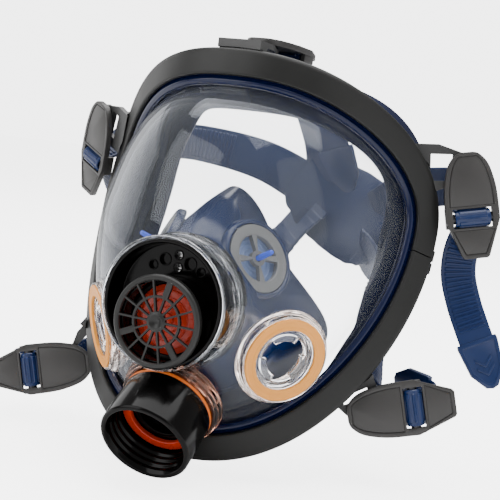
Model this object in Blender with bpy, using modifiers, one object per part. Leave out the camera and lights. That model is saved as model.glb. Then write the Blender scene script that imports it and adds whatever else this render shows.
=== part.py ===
"""Full-face respirator with a 40 mm canister port and two bayonet inlets.

Units are metres, +Z is up, the visor faces -Y and +X is the wearer's left. The origin lies in
the middle of the face opening. Every sub-part is one object named after the piece it stands for.
"""
import math

import bmesh
import bpy
from mathutils import Matrix, Vector

MM = 0.001
GAP = 0.3 * MM                      # running gap between pieces that touch
MERGE = 0.02 * MM                   # merge distance of the turned profiles

# Rim outline: half width, top, bottom and height of its widest point
RIM_HALF_WIDTH = 98.6 * MM
RIM_TOP = 101.3 * MM
RIM_BOTTOM = -104.6 * MM
RIM_WAIST = 16.8 * MM
RIM_SQUARENESS_TOP = 0.84
RIM_SQUARENESS_BOTTOM = 0.86
# Rim depth along Y: mean, top-to-bottom lean, sweep back at the temples, and its bias upwards
RIM_DEPTH = -44.1 * MM
RIM_LEAN = 8.4 * MM
RIM_SWEEP = 70.8 * MM
RIM_BIAS = 19.5 * MM
RIM_TILT_FRONT = math.radians(12)   # how far the rim's face turns outwards at top and bottom
RIM_TILT_TEMPLE = math.radians(51)  # and at the temples
RIM_SEAM = math.radians(95)         # where the two halves of the rim meet
RIM_SEAM_GAP = math.radians(0.15)
RIM_STATIONS = 36                   # one falls on the seam, so the halves share the others
ROUND = 24                          # sides of a turned piece
SMALL = 12                          # sides of a pin or a small hole

# Visor dome
VISOR_WALL = 2.2 * MM
DOME_POLE = Vector((0, -78.5 * MM, -15 * MM))
DOME_ANGLE = math.radians(81)
DOME_STEPS = (81, 68, 50, 28)

# Front housing, its collar and the exhalation valve, all turned about lines along -Y
HOUSING_Z = -23.8 * MM
HOUSING_RADIUS = 30.2 * MM
HOUSING_FRONT = -89.0 * MM
HOUSING_FLOOR = -76.0 * MM
EXHALE_Z = -32.2 * MM
GRILLE_RADIUS = 22.3 * MM
GRILLE_FRONT = -93.4 * MM

# Canister port: mouth centre and how far its axis points down
PORT_MOUTH = Vector((0, -91.4 * MM, -90.2 * MM))
PORT_PITCH = math.radians(33.8)
PORT_RADIUS = 23.0 * MM
PORT_LENGTH = 25.0 * MM
THREAD_CREST = 19.2 * MM
THREAD_ROOT = 20.3 * MM
THREAD_PITCH = 3.63 * MM

# Bayonet inlets: gasket face centre of the left one, and its axis
INLET_CENTRE = Vector((51.3 * MM, -52.3 * MM, -46.5 * MM))
INLET_AXIS = Vector((0.736, -0.640, -0.220)).normalized()
INLET_RADIUS = 22.4 * MM

# Inhalation valves on the nose cup
INHALE_CENTRE = Vector((26.5 * MM, -42.0 * MM, -1.0 * MM))
INHALE_AXIS = Vector((0.80, -0.42, 0.43)).normalized()
INHALE_RADIUS = 17.5 * MM
CUP_STATIONS = 28

# Buckles: plate length, half width, thickness; strap bar
BUCKLE_LENGTH = 55 * MM
BUCKLE_HALF_WIDTH = 14 * MM
BUCKLE_BACK = 0.8 * MM
BUCKLE_FRONT = 4.0 * MM
PIVOT_INSET = 8 * MM                # pivot to the buckle's round end
BAR_AT = 26 * MM                    # pivot to the strap bar
BAR_RADIUS = 2.6 * MM
BAR_HEIGHT = 0.9 * MM
SLOT_HALF = 5 * MM                  # half the strap slot's length
PIVOT_HOLE = 2.7 * MM
STRAP_HALF_WIDTH = 9.2 * MM
STRAP_WALL = 1.6 * MM

# Each buckle: pivot (mm), direction of its length, outward normal, rim angle of its anchor
BUCKLES = {
    "top": ((2.0, -3.0, 104.5), (0.10, 0.98, -0.05), (0.0, 0.05, 1.0), 0),
    "upper_left": ((107.0, 33.0, 55.0), (0.225, 0.0, -0.974), (0.40, -0.91, 0.08), 63),
    "upper_right": ((-104.0, 27.0, 60.0), (-0.24, 0.20, -0.92), (-0.54, -0.82, -0.10), -63),
    "lower_left": ((78.5, -3.5, -74.5), (0.893, 0.379, 0.242), (0.37, -0.925, 0.085), 129),
    "lower_right": ((-88.0, -4.0, -78.0), (-0.896, -0.38, -0.232), (0.30, -0.93, 0.085), -129),
}

X_AXIS = Vector((1, 0, 0))
Y_AXIS = Vector((0, 1, 0))
Z_AXIS = Vector((0, 0, 1))


# ---------------------------------------------------------------- scene and materials

def clear_scene():
    for obj in list(bpy.data.objects):
        bpy.data.objects.remove(obj, do_unlink=True)


def new_collection(name):
    collection = bpy.data.collections.new(name)
    bpy.context.scene.collection.children.link(collection)
    return collection


def material(name, color, roughness, metallic=0.0, alpha=1.0):
    mat = bpy.data.materials.new(name)
    mat.use_nodes = True
    shader = mat.node_tree.nodes["Principled BSDF"]
    shader.inputs["Base Color"].default_value = (*color, 1)
    shader.inputs["Roughness"].default_value = roughness
    shader.inputs["Metallic"].default_value = metallic
    shader.inputs["Alpha"].default_value = alpha
    return mat


clear_scene()
MODEL = new_collection("respirator")
CUTTERS = new_collection("cutters")

CLEAR = material("clear_polycarbonate", (0.86, 0.87, 0.90), 0.04, alpha=0.3)
BLACK = material("rim_plastic", (0.045, 0.046, 0.045), 0.45)
GLOSS_BLACK = material("gloss_plastic", (0.012, 0.012, 0.013), 0.15)
GREY = material("buckle_plastic", (0.09, 0.085, 0.085), 0.45)
BLUE = material("blue_rubber", (0.012, 0.035, 0.16), 0.3)
VALVE_GREY = material("valve_seat_plastic", (0.28, 0.27, 0.24), 0.4)
VALVE_BLUE = material("valve_silicone", (0.30, 0.42, 0.80), 0.3)
ORANGE = material("orange_gasket", (0.90, 0.42, 0.12), 0.4)
RED = material("red_silicone", (0.62, 0.06, 0.02), 0.35)
SILVER = material("diaphragm_film", (0.72, 0.72, 0.72), 0.25, metallic=1.0)
STEEL = material("steel", (0.55, 0.55, 0.56), 0.3, metallic=1.0)


# ---------------------------------------------------------------- shape helpers

def link(obj, mat=None, cutter=False):
    if cutter:
        CUTTERS.objects.link(obj)
        obj.hide_render = True
        obj.display_type = "WIRE"
    else:
        MODEL.objects.link(obj)
        obj.data.materials.append(mat)
        obj.data.shade_smooth()
        obj.data.set_sharp_from_angle(angle=math.radians(35))
    return obj


def mesh_object(name, bm, mat=None, cutter=False, place=None):
    mesh = bpy.data.meshes.new(name)
    bm.to_mesh(mesh)
    bm.free()
    obj = bpy.data.objects.new(name, mesh)
    if place is not None:
        obj.matrix_world = place
    return link(obj, mat, cutter)


def facing(origin, z_axis, y_hint=Z_AXIS):
    """Placement with local +Z along z_axis and local +Y as near to y_hint as it can be."""
    z_axis = Vector(z_axis).normalized()
    x_axis = Vector(y_hint).cross(z_axis).normalized()
    y_axis = z_axis.cross(x_axis)
    turn = Matrix((x_axis, y_axis, z_axis)).transposed()
    return Matrix.Translation(origin) @ turn.to_4x4()


def mirrored(vector):
    return Vector((-vector.x, vector.y, vector.z))


def turned(name, profile, mat=None, place=None, steps=ROUND, cutter=False):
    """Ring or disc turned about local Z; the profile is (radius, height) down its outer side."""
    bm = bmesh.new()
    points = [bm.verts.new((radius, 0, height)) for radius, height in profile]
    for first, second in zip(points, points[1:]):
        bm.edges.new((first, second))
    if profile[0][0] > MERGE:
        bm.edges.new((points[-1], points[0]))
    obj = mesh_object(name, bm, mat, cutter, place)
    screw = obj.modifiers.new("turn", "SCREW")
    screw.axis = "Z"
    screw.steps = steps
    screw.render_steps = steps
    screw.use_merge_vertices = True
    screw.merge_threshold = MERGE
    return obj


def ring(name, inner, outer, low, high, mat=None, place=None, steps=ROUND, cutter=False):
    profile = [(outer, high), (outer, low), (inner, low), (inner, high)]
    return turned(name, profile, mat, place, steps, cutter)


def disc(name, radius, low, high, mat=None, place=None, steps=ROUND, cutter=False):
    profile = [(0, high), (radius, high), (radius, low), (0, low)]
    return turned(name, profile, mat, place, steps, cutter)


def prism(name, outlines, low, high, mat=None, place=None, cutter=False):
    """Flat outlines in local XY, anticlockwise, raised from low to high."""
    bm = bmesh.new()
    for outline in outlines:
        bottom = [bm.verts.new((x, y, low)) for x, y in outline]
        top = [bm.verts.new((x, y, high)) for x, y in outline]
        bm.faces.new(list(reversed(bottom)))
        bm.faces.new(top)
        for i in range(len(outline)):
            k = (i + 1) % len(outline)
            bm.faces.new((bottom[i], bottom[k], top[k], top[i]))
    bmesh.ops.recalc_face_normals(bm, faces=bm.faces)
    return mesh_object(name, bm, mat, cutter, place)


def loft(name, rings, mat=None, loop=True, cutter=False):
    """Closed sections joined one after the other, round a loop or between two end caps."""
    bm = bmesh.new()
    rows = [[bm.verts.new(point) for point in section] for section in rings]
    pairs = list(zip(rows, rows[1:]))
    if loop:
        pairs.append((rows[-1], rows[0]))
    else:
        bm.faces.new(rows[0])
        bm.faces.new(list(reversed(rows[-1])))
    count = len(rows[0])
    for here, there in pairs:
        for i in range(count):
            k = (i + 1) % count
            bm.faces.new((here[i], there[i], there[k], here[k]))
    bmesh.ops.recalc_face_normals(bm, faces=bm.faces)
    bmesh.ops.triangulate(bm, faces=bm.faces)
    return mesh_object(name, bm, mat, cutter)


def shell(name, rings, wall, mat, pole=None):
    """Open surface through rings that go once round, given thickness on its inner side."""
    bm = bmesh.new()
    rows = [[bm.verts.new(point) for point in section] for section in rings]
    count = len(rows[0])
    for here, there in zip(rows, rows[1:]):
        for i in range(count):
            k = (i + 1) % count
            bm.faces.new((here[i], there[i], there[k], here[k]))
    if pole is not None:
        tip = bm.verts.new(pole)
        for i in range(count):
            bm.faces.new((rows[-1][(i + 1) % count], rows[-1][i], tip))
    bmesh.ops.triangulate(bm, faces=bm.faces)
    obj = mesh_object(name, bm, mat)
    solidify = obj.modifiers.new("wall", "SOLIDIFY")
    solidify.thickness = wall
    solidify.offset = -1
    solidify.use_even_offset = True
    return obj


def boolean(obj, other, operation, solver="EXACT"):
    modifier = obj.modifiers.new(other.name, "BOOLEAN")
    modifier.operation = operation
    modifier.solver = solver
    modifier.object = other


def parented(obj, empty):
    """Hangs obj on the empty without moving it."""
    obj.parent = empty
    obj.matrix_parent_inverse = empty.matrix_world.inverted()


def arc(centre_x, centre_y, radius, start, end, steps):
    """Points on a circle from one angle to another, in degrees."""
    angles = [math.radians(start + (end - start) * i / steps) for i in range(steps + 1)]
    return [(centre_x + radius * math.cos(a), centre_y + radius * math.sin(a)) for a in angles]


# ---------------------------------------------------------------- rim outline

def rim_point(t):
    """Outer edge of the rim; t runs from the top towards the wearer's left."""
    s = math.sin(t)
    c = math.cos(t)
    share = (1 + c) / 2
    power = RIM_SQUARENESS_TOP * share + RIM_SQUARENESS_BOTTOM * (1 - share)
    x = RIM_HALF_WIDTH * math.copysign(abs(s) ** power, s)
    reach = RIM_TOP - RIM_WAIST if c > 0 else RIM_WAIST - RIM_BOTTOM
    y = RIM_DEPTH + RIM_LEAN * c + RIM_SWEEP * s * s + RIM_BIAS * s * s * c
    return Vector((x, y, RIM_WAIST + reach * c))


def rim_axes(t):
    """Directions at t: across the rim's face outwards, out of its face, and level outwards."""
    step = 0.004
    along = (rim_point(t + step) - rim_point(t - step)).normalized()
    outward = Vector((-along.z, 0, along.x)).normalized()
    forward = along.cross(outward).normalized()
    tilt = RIM_TILT_FRONT + (RIM_TILT_TEMPLE - RIM_TILT_FRONT) * math.sin(t) ** 2
    across = math.cos(tilt) * outward - math.sin(tilt) * forward
    normal = math.cos(tilt) * forward + math.sin(tilt) * outward
    return across, normal, outward


def rim_section(t, points):
    """Section points (across, out, back, in) in millimetres, placed on the rim at t."""
    across, normal, outward = rim_axes(t)
    base = rim_point(t)
    placed = []
    for u, w, back, inward in points:
        offset = across * u + normal * w + Y_AXIS * back - outward * inward
        placed.append(base + offset * MM)
    return placed


def around(count=RIM_STATIONS):
    return [2 * math.pi * (i + 0.5) / count for i in range(count)]


# ---------------------------------------------------------------- rim, seal and visor

CLAMP_SECTION = (
    (-14.5, -0.4, 0, 0), (-13.8, 0.2, 0, 0), (-2.6, 0.0, 0, 0), (-0.7, -0.7, 0, 0),
    (0.0, -2.6, 0, 0), (0.0, -10.6, 0, 0), (-0.8, -12.4, 0, 0), (-2.6, -13.0, 0, 0),
    (-11.0, -13.0, 0, 0), (-11.0, -11.0, 0, 0), (-2.4, -11.0, 0, 0), (-2.4, -2.4, 0, 0),
    (-14.5, -2.4, 0, 0),
)


def rim_half(name, start, end):
    turns = [t - 2 * math.pi for t in around()] + around()
    near = math.radians(1)
    angles = [start] + [t for t in turns if start + near < t < end - near] + [end]
    return loft(name, [rim_section(t, CLAMP_SECTION) for t in angles], BLACK, loop=False)


LUG_REACH = 5.4 * MM
LUG_LENGTH = 6 * MM
SCREW_RADIUS = 1.3 * MM


def lug_place(side):
    """Placement at the seam: local X across outwards, local Y out of the face, Z along it."""
    t = RIM_SEAM * side
    across, normal, _ = rim_axes(t)
    along = across.cross(normal).normalized()
    turn = Matrix((across, normal, along)).transposed().to_4x4()
    return Matrix.Translation(rim_point(t)) @ turn


def rim_lug(name, rim, place, low, high):
    """Screw lug on the outer wall of one half, welded to it."""
    outline = [(-1.5 * MM, -12.6 * MM), (LUG_REACH, -12.6 * MM), (LUG_REACH, -7.6 * MM),
               (-1.5 * MM, -6.6 * MM)]
    lug = prism(name, [outline], low, high, cutter=True, place=place)
    boolean(rim, lug, "UNION")
    hole_place = place @ Matrix.Translation((2.9 * MM, -10.1 * MM, 0))
    reach = 12 * MM
    hole = disc(name + "_hole", SCREW_RADIUS + GAP, -reach, reach, place=hole_place, steps=SMALL,
                cutter=True)
    boolean(rim, hole, "DIFFERENCE")
    return hole_place


def rim_frames():
    upper = rim_half("rim_frame_upper", -RIM_SEAM + RIM_SEAM_GAP, RIM_SEAM - RIM_SEAM_GAP)
    lower_end = 2 * math.pi - RIM_SEAM
    lower = rim_half("rim_frame_lower", RIM_SEAM + RIM_SEAM_GAP, lower_end - RIM_SEAM_GAP)
    near = 0.4 * MM
    for side, word in ((1, "left"), (-1, "right")):
        place = lug_place(side)
        # local Z runs down the rim on the left and up it on the right
        spans = ((upper, -side), (lower, side))
        for rim, way in spans:
            low, high = sorted((near * way, (near + LUG_LENGTH) * way))
            hole_place = rim_lug(f"lug_{word}_{rim.name}", rim, place, low, high)
        rim_screw(word, hole_place, side)


def rim_screw(word, place, side):
    """Pan-head screw pushed up through both lugs, with a hex nut on the other side."""
    down = 1 if side > 0 else -1
    face = 0.4 * MM + LUG_LENGTH + GAP
    turn = Matrix.Rotation(0 if down > 0 else math.pi, 4, "X")
    head = 1.9 * MM
    tip = -face - 3.4 * MM
    profile = [(0, face + head), (1.3 * MM, face + head), (2.3 * MM, face + 1.2 * MM),
               (2.3 * MM, face), (SCREW_RADIUS, face), (SCREW_RADIUS, tip), (0, tip)]
    turned(f"rim_screw_{word}", profile, STEEL, place @ turn, steps=SMALL)
    hexagon = arc(0, 0, 2.5 * MM, 0, 300, 5)
    nut = prism(f"rim_nut_{word}", [hexagon], -face - 2.4 * MM, -face, STEEL, place @ turn)
    bore = disc(f"nut_bore_{word}", SCREW_RADIUS + GAP, -face - 5 * MM, 0, place=place @ turn,
                steps=SMALL, cutter=True)
    boolean(nut, bore, "DIFFERENCE")


# How far the seal's lip reaches in (mm) at each angle from the top (degrees)
LIP_REACH = ((0, 24), (30, 21.5), (60, 19.5), (90, 22.5), (105, 20), (120, 14), (135, 10),
             (150, 15), (165, 25), (180, 28))


def seal_lip(t):
    """How far the lip reaches in at t, in millimetres."""
    at = abs(math.degrees(math.atan2(math.sin(t), math.cos(t))))
    for (start, low), (end, high) in zip(LIP_REACH, LIP_REACH[1:]):
        if at <= end:
            share = (at - start) / (end - start)
            share = share * share * (3 - 2 * share)
            return low + (high - low) * share
    return LIP_REACH[-1][1]


def seal_skirt(t):
    """How far the skirt reaches back behind the rim, and how far it flares out, in mm."""
    top = max(0.0, math.cos(t))
    corner = math.sin(2 * t) ** 2
    if top:
        return 18 + 3 * top + 8 * corner, 10 * corner
    return 18, 9 * math.sqrt(abs(math.sin(2 * t)))


def seal_section(t):
    """Rubber edge in the clamp, its visor slot, the skirt behind it and the inner lip."""
    skirt, flare = seal_skirt(t)
    lip_in = seal_lip(t)
    lip_back = skirt - 11
    return (
        (-18.9, -5.2, 0, 0), (-19.1, -2.8, 0, 0), (-16.9, -1.3, 0, 0),
        (-15.0, -2.9, 0, 0), (-2.9, -2.9, 0, 0), (-2.9, -10.5, 0, 0), (-11.5, -10.5, 0, 0),
        (-11.5, -13.5, 0, 0), (-4.0, -13.5, 0, 0), (-3.4, -13.4, skirt * 0.45, 0.5),
        (-4.0, -13.4, skirt, 3 - flare), (-4, -13.4, skirt + 3, 9 - flare),
        (-4, -13.4, lip_back, lip_in), (-4, -13.4, lip_back - 1.5, lip_in - 1),
        (-4, -13.4, skirt - 1, 9 - flare), (-4.0, -13.4, skirt - 3, 5.5 - flare),
        (-6.6, -13.8, skirt * 0.42, 0.4), (-13.4, -13.2, 0, 0),
        (-17.6, -8.8, 0, 0), (-5.5, -8.8, 0, 0), (-5.5, -5.2, 0, 0),
    )


def face_seal():
    rings = [rim_section(t, seal_section(t)) for t in around()]
    return loft("face_seal", rings, BLUE)


def dome_ring(angle):
    """Points round the dome at one angle from its pole, out to the flange's inner edge."""
    angle = math.radians(angle)
    spread = math.sin(angle) / math.sin(DOME_ANGLE)
    rise = (1 - math.cos(angle)) / (1 - math.cos(DOME_ANGLE))
    points = []
    for t in around():
        edge = rim_section(t, ((-21.0, -5.7, 0, 0),))[0]
        x = edge.x * spread
        y = DOME_POLE.y + (edge.y - DOME_POLE.y) * rise
        z = DOME_POLE.z + (edge.z - DOME_POLE.z) * spread
        points.append(Vector((x, y, z)))
    return points


def port_place():
    """Local +Z out of the port's mouth, local +Y upwards."""
    axis = Vector((0, -math.cos(PORT_PITCH), -math.sin(PORT_PITCH)))
    return facing(PORT_MOUTH, axis)


def inlet_place(side):
    if side > 0:
        return facing(INLET_CENTRE, INLET_AXIS)
    return facing(mirrored(INLET_CENTRE), mirrored(INLET_AXIS))


def front_place(height):
    """Local +Z forwards, local +Y up, on the line along Y at this height."""
    return facing(Vector((0, 0, height)), -Y_AXIS)


def visor():
    flange = [rim_section(t, ((-6.0, -5.7, 0, 0),))[0] for t in around()]
    rings = [flange] + [dome_ring(angle) for angle in DOME_STEPS]
    body = shell("visor", rings, VISOR_WALL, CLEAR, pole=DOME_POLE)
    for side, word in ((1, "left"), (-1, "right")):
        place = inlet_place(side)
        profile = [(0, -2.0), (21.6, -2.0), (21.6, -0.6), (22.4, -0.6), (24.3, -4.0),
                   (24.3, -6.0), (18.5, -12.5), (0, -12.5)]
        profile = [(radius * MM, height * MM) for radius, height in profile]
        boss = turned(f"inlet_boss_{word}", profile, place=place, cutter=True)
        boolean(boss, rim_envelope(), "DIFFERENCE")
        boolean(body, boss, "UNION", "MANIFOLD")
        hole = disc(f"inlet_bore_{word}", 15.6 * MM, -30 * MM, 5 * MM, place=place, cutter=True)
        boolean(body, hole, "DIFFERENCE", "MANIFOLD")
    chin = port_place()
    ribs = [(0, -PORT_LENGTH - 2.4 * MM)]
    depth = PORT_LENGTH + 2.4 * MM
    for radius, drop in ((24.5, 0), (24.5, 1.4), (23.6, 2.2), (25.8, 5.0), (25.8, 7.0),
                         (17.0, 8.4), (0, 8.4)):
        ribs.append((radius * MM, -depth - drop * MM))
    boss = turned("chin_boss", ribs, place=chin, cutter=True)
    boolean(boss, rim_envelope(), "DIFFERENCE")
    boolean(body, boss, "UNION", "MANIFOLD")
    chin_bore = disc("chin_bore", 13.8 * MM, -60 * MM, 0, place=chin, cutter=True)
    boolean(body, chin_bore, "DIFFERENCE", "MANIFOLD")
    collar = disc("visor_collar", HOUSING_RADIUS + GAP + 1.7 * MM, 69.2 * MM, 88.4 * MM,
                  place=front_place(HOUSING_Z), cutter=True)
    boolean(body, collar, "UNION", "MANIFOLD")
    bore = disc("collar_bore", HOUSING_RADIUS + GAP, 50 * MM, 100 * MM,
                place=front_place(HOUSING_Z), cutter=True)
    boolean(body, bore, "DIFFERENCE", "MANIFOLD")
    return body


def rim_envelope():
    """Solid band that holds the rim and seal edge with a small gap, to cut what rests on them."""
    existing = bpy.data.objects.get("rim_envelope")
    if existing:
        return existing
    rings = []
    for t in around():
        skirt, flare = seal_skirt(t)
        outline = ((-20.0, 1, 0, 0), (-2.4, 1, 0, 0), (1, -2.4, 0, 0), (1, -10.8, 0, 0),
                   (-0.2, -13.6, 0, 0), (-1.6, -14.4, 1, 0), (-2.0, -13.4, skirt * 0.45, 0),
                   (-2.6, -13.4, skirt + 1, 2 - flare), (-4, -13.4, skirt + 4, 9 - flare),
                   (-4, -13.4, skirt, 18), (-20.0, -9.5, 0, 0))
        rings.append(rim_section(t, outline))
    return loft("rim_envelope", rings, cutter=True)


# ---------------------------------------------------------------- nose cup and its valves

CUP_RINGS = (
    # depth, half width, top, bottom, nose narrowing, sweep back at the cheeks
    (-62.0, 31.2, 6.6, -55.8, 0.0, 0),
    (-58.0, 32.4, 7.8, -57.5, 0.0, 0),
    (-48.0, 36.5, 15.5, -67.0, 0.16, 0),
    (-39.0, 40.5, 21.5, -73.5, 0.34, 1),
    (-32.0, 43.5, 26.0, -68.5, 0.46, 3),
    (-24.0, 48.0, 29.5, -67.0, 0.56, 9),
    (-18.0, 52.0, 31.5, -69.0, 0.62, 22),
)


def cup_ring(depth, half_width, top, bottom, narrowing, sweep):
    middle = HOUSING_Z / MM
    points = []
    for t in around(CUP_STATIONS):
        share = min(1.0, max(0.0, math.cos(t) + 0.42))
        width = half_width * (1 - narrowing * share * share * (3 - 2 * share))
        reach = top - middle if math.cos(t) > 0 else middle - bottom
        back = sweep * math.sin(t) ** 2
        points.append(Vector((width * math.sin(t), depth + back, middle + reach * math.cos(t))) * MM)
    return points


def nose_cup():
    rings = [cup_ring(*row) for row in reversed(CUP_RINGS)]
    collar = [Vector((29.0 * math.sin(t), -62.0, HOUSING_Z / MM + 29.0 * math.cos(t))) * MM
              for t in around(CUP_STATIONS)]
    cup = shell("nose_cup", rings + [collar], 2 * MM, BLUE)
    for side, word in ((1, "left"), (-1, "right")):
        place = inhale_place(side)
        socket = ring(f"valve_socket_{word}", INHALE_RADIUS - 1 * MM, INHALE_RADIUS + 1.4 * MM,
                      -6 * MM, -1.2 * MM, place=place, cutter=True)
        boolean(cup, socket, "UNION")
        hole = disc(f"cup_hole_{word}", INHALE_RADIUS + GAP, -12 * MM, 9 * MM, place=place,
                    cutter=True)
        boolean(cup, hole, "DIFFERENCE")
    return cup


def inhale_place(side):
    if side > 0:
        return facing(INHALE_CENTRE, INHALE_AXIS)
    return facing(mirrored(INHALE_CENTRE), mirrored(INHALE_AXIS))


def sector(inner, outer, start, end, steps=3):
    """Outline of part of a flat ring, angles in degrees."""
    return arc(0, 0, outer, start, end, steps) + arc(0, 0, inner, end, start, steps)


def inhalation_valve(side, word):
    place = inhale_place(side)
    seat = disc(f"inhalation_seat_{word}", INHALE_RADIUS, -1.5 * MM, 1.5 * MM, VALVE_GREY, place)
    windows = [sector(4 * MM, 12.6 * MM, 90 * i + 9, 90 * i + 81) for i in range(4)]
    cutter = prism(f"inhalation_windows_{word}", windows, -5 * MM, 5 * MM, place=place, cutter=True)
    boolean(seat, cutter, "DIFFERENCE")
    stem_hole = disc(f"stem_hole_{word}", 1.9 * MM, -5 * MM, 5 * MM, place=place, steps=SMALL,
                     cutter=True)
    boolean(seat, stem_hole, "DIFFERENCE")
    profile = [(0, 12.0), (1.0, 11.5), (1.6, 3.4), (1.4, 2.2), (1.5, -3.3), (14.2, -3.8),
               (14.2, -4.6), (0, -4.6)]
    profile = [(radius * MM, height * MM) for radius, height in profile]
    turned(f"inhalation_valve_{word}", profile, VALVE_BLUE, place)


# ---------------------------------------------------------------- front housing

def front_housing():
    place = front_place(HOUSING_Z)
    floor_front = -HOUSING_FLOOR
    front = -HOUSING_FRONT
    profile = [(27.6, front / MM), (HOUSING_RADIUS / MM, front / MM), (HOUSING_RADIUS / MM, 68.0),
               (28.4, 68.0), (28.4, 59.0), (26.6, 59.0), (26.6, floor_front / MM - 2.4),
               (0, floor_front / MM - 2.4)]
    profile = [(radius * MM, height * MM) for radius, height in profile]
    inner = [(0, floor_front), (27.6 * MM, floor_front)]
    housing = turned("front_housing", inner + profile, GLOSS_BLACK, place)
    bore = disc("exhale_bore", 17.0 * MM, 60 * MM, 80 * MM, place=front_place(EXHALE_Z),
                cutter=True)
    boolean(housing, bore, "DIFFERENCE")
    notch = disc("exhale_notch", 21.2 * MM, -HOUSING_FLOOR, 100 * MM,
                 place=front_place(EXHALE_Z), cutter=True)
    boolean(housing, notch, "DIFFERENCE")
    for i, (x, z, radius) in enumerate(((-6.6, -4.4, 2.7), (0.2, -1.6, 2.0), (6.6, -5.0, 2.9),
                                        (0.3, -7.6, 2.0), (-12.6, -7.8, 2.0), (12.4, -8.2, 2.0))):
        hole = disc(f"speech_hole_{i}", radius * MM, 60 * MM, 80 * MM, steps=SMALL, cutter=True,
                    place=facing(Vector((x * MM, 0, z * MM)), -Y_AXIS))
        boolean(housing, hole, "DIFFERENCE")
    return housing


def clamp_ring():
    """Ring nut behind the visor, with grip notches round its edge."""
    nut = ring("housing_clamp_ring", 28.7 * MM, 32.4 * MM, 62.8 * MM, 66.4 * MM, BLACK,
               front_place(HOUSING_Z))
    notches = []
    for i in range(6):
        a = math.radians(60 * i)
        turn = Matrix.Rotation(a, 2)
        corners = ((31.2, -2), (35, -2), (35, 2), (31.2, 2))
        notches.append([tuple(turn @ Vector(corner) * MM) for corner in corners])
    cutter = prism("clamp_notches", notches, 60 * MM, 70 * MM, place=front_place(HOUSING_Z),
                   cutter=True)
    boolean(nut, cutter, "DIFFERENCE")
    return nut


def speech_parts():
    place = facing(Vector((0, 0, -5.2 * MM)), -Y_AXIS)
    back = -HOUSING_FLOOR - 2.4 * MM
    disc("speech_diaphragm", 7.6 * MM, back - GAP - 0.4 * MM, back - GAP, SILVER, place)
    ring("diaphragm_retainer", 5.6 * MM, 7.6 * MM, back - 3 * MM, back - 2 * GAP - 0.4 * MM, BLACK,
         place)


def exhalation_parts():
    place = front_place(EXHALE_Z)
    floor = -HOUSING_FLOOR + GAP
    top = 89.4 * MM
    profile = [(0, floor + 1.6 * MM), (17 * MM, floor + 1.6 * MM), (18.8 * MM, floor + 3 * MM),
               (18.8 * MM, top), (20.8 * MM, top), (20.8 * MM, floor), (0, floor)]
    seat = turned("exhalation_seat", profile, GLOSS_BLACK, place)
    windows = [sector(4 * MM, 15 * MM, 60 * i + 6, 60 * i + 54, 5) for i in range(6)]
    cutter = prism("exhalation_windows", windows, floor - 5 * MM, floor + 2.5 * MM, place=place,
                   cutter=True)
    boolean(seat, cutter, "DIFFERENCE")
    stem = disc("exhalation_stem_hole", 1.9 * MM, floor - 5 * MM, floor + 5 * MM, place=place,
                steps=SMALL, cutter=True)
    boolean(seat, stem, "DIFFERENCE")
    face = floor + 1.6 * MM + GAP
    valve = [(0, face + 1.6 * MM), (6 * MM, face + 1.5 * MM), (16.8 * MM, face + 0.9 * MM),
             (16.8 * MM, face), (1.5 * MM, face), (1.5 * MM, face - 6 * MM),
             (0, face - 6 * MM)]
    turned("exhalation_valve", valve, RED, place)
    exhalation_grille(place, top + GAP)


def exhalation_grille(place, low):
    """Spoked cover: rim, middle ring, hub and fourteen spokes, three of them wide."""
    high = -GRILLE_FRONT
    profile = [(0, high - 1.0 * MM), (2.2 * MM, high - 1.0 * MM), (3.6 * MM, high), (20 * MM, high),
               (21.6 * MM, high), (GRILLE_RADIUS, high - 0.9 * MM), (GRILLE_RADIUS, low),
               (20 * MM, low), (20 * MM, high - 2.4 * MM), (0, high - 2.4 * MM)]
    grille = turned("exhalation_grille", profile, GREY, place)
    spokes = 14
    pitch = 360 / spokes
    windows = []
    for i in range(spokes):
        start = 75 + pitch * i
        for inner, outer in ((4.6, 11.4), (12.6, 19.6)):
            half = math.degrees(0.55 / inner)
            wide = math.degrees(1.6 / outer) if i in (0, 5, 9) and outer > 15 else half
            tail = math.degrees(1.6 / outer) if i in (13, 4, 8) and outer > 15 else half
            windows.append(sector(inner * MM, outer * MM, start + wide, start + pitch - tail, 1))
    cutter = prism("grille_windows", windows, high - 6 * MM, high + 2 * MM, place=place,
                   cutter=True)
    boolean(grille, cutter, "DIFFERENCE")
    return grille


# ---------------------------------------------------------------- canister port and inlets

def canister_port():
    place = port_place()
    inside = [(THREAD_ROOT, 0)]
    depth = 1.2 * MM
    for _ in range(4):
        inside.append((THREAD_CREST, -depth - THREAD_PITCH * 0.4))
        inside.append((THREAD_ROOT, -depth - THREAD_PITCH * 0.8))
        depth += THREAD_PITCH
    step = -19.0 * MM
    neck_end = -PORT_LENGTH - 11 * MM
    inside += [(THREAD_ROOT, step), (11.6 * MM, step), (11.6 * MM, neck_end)]
    outside = [(22.0 * MM, 0), (PORT_RADIUS, -1.0 * MM), (PORT_RADIUS, -PORT_LENGTH),
               (13.5 * MM, -PORT_LENGTH), (13.5 * MM, neck_end)]
    profile = outside + list(reversed(inside))
    turned("canister_port", profile, GLOSS_BLACK, place)
    ring("port_outer_gasket", 13.8 * MM, 22.6 * MM, -PORT_LENGTH - 2.1 * MM,
         -PORT_LENGTH - GAP, ORANGE, place)
    ring("port_inner_gasket", 14.5 * MM, 19.0 * MM, step + GAP, step + 3 * MM, RED, place)
    port_inlet_valve(place, neck_end)


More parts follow.
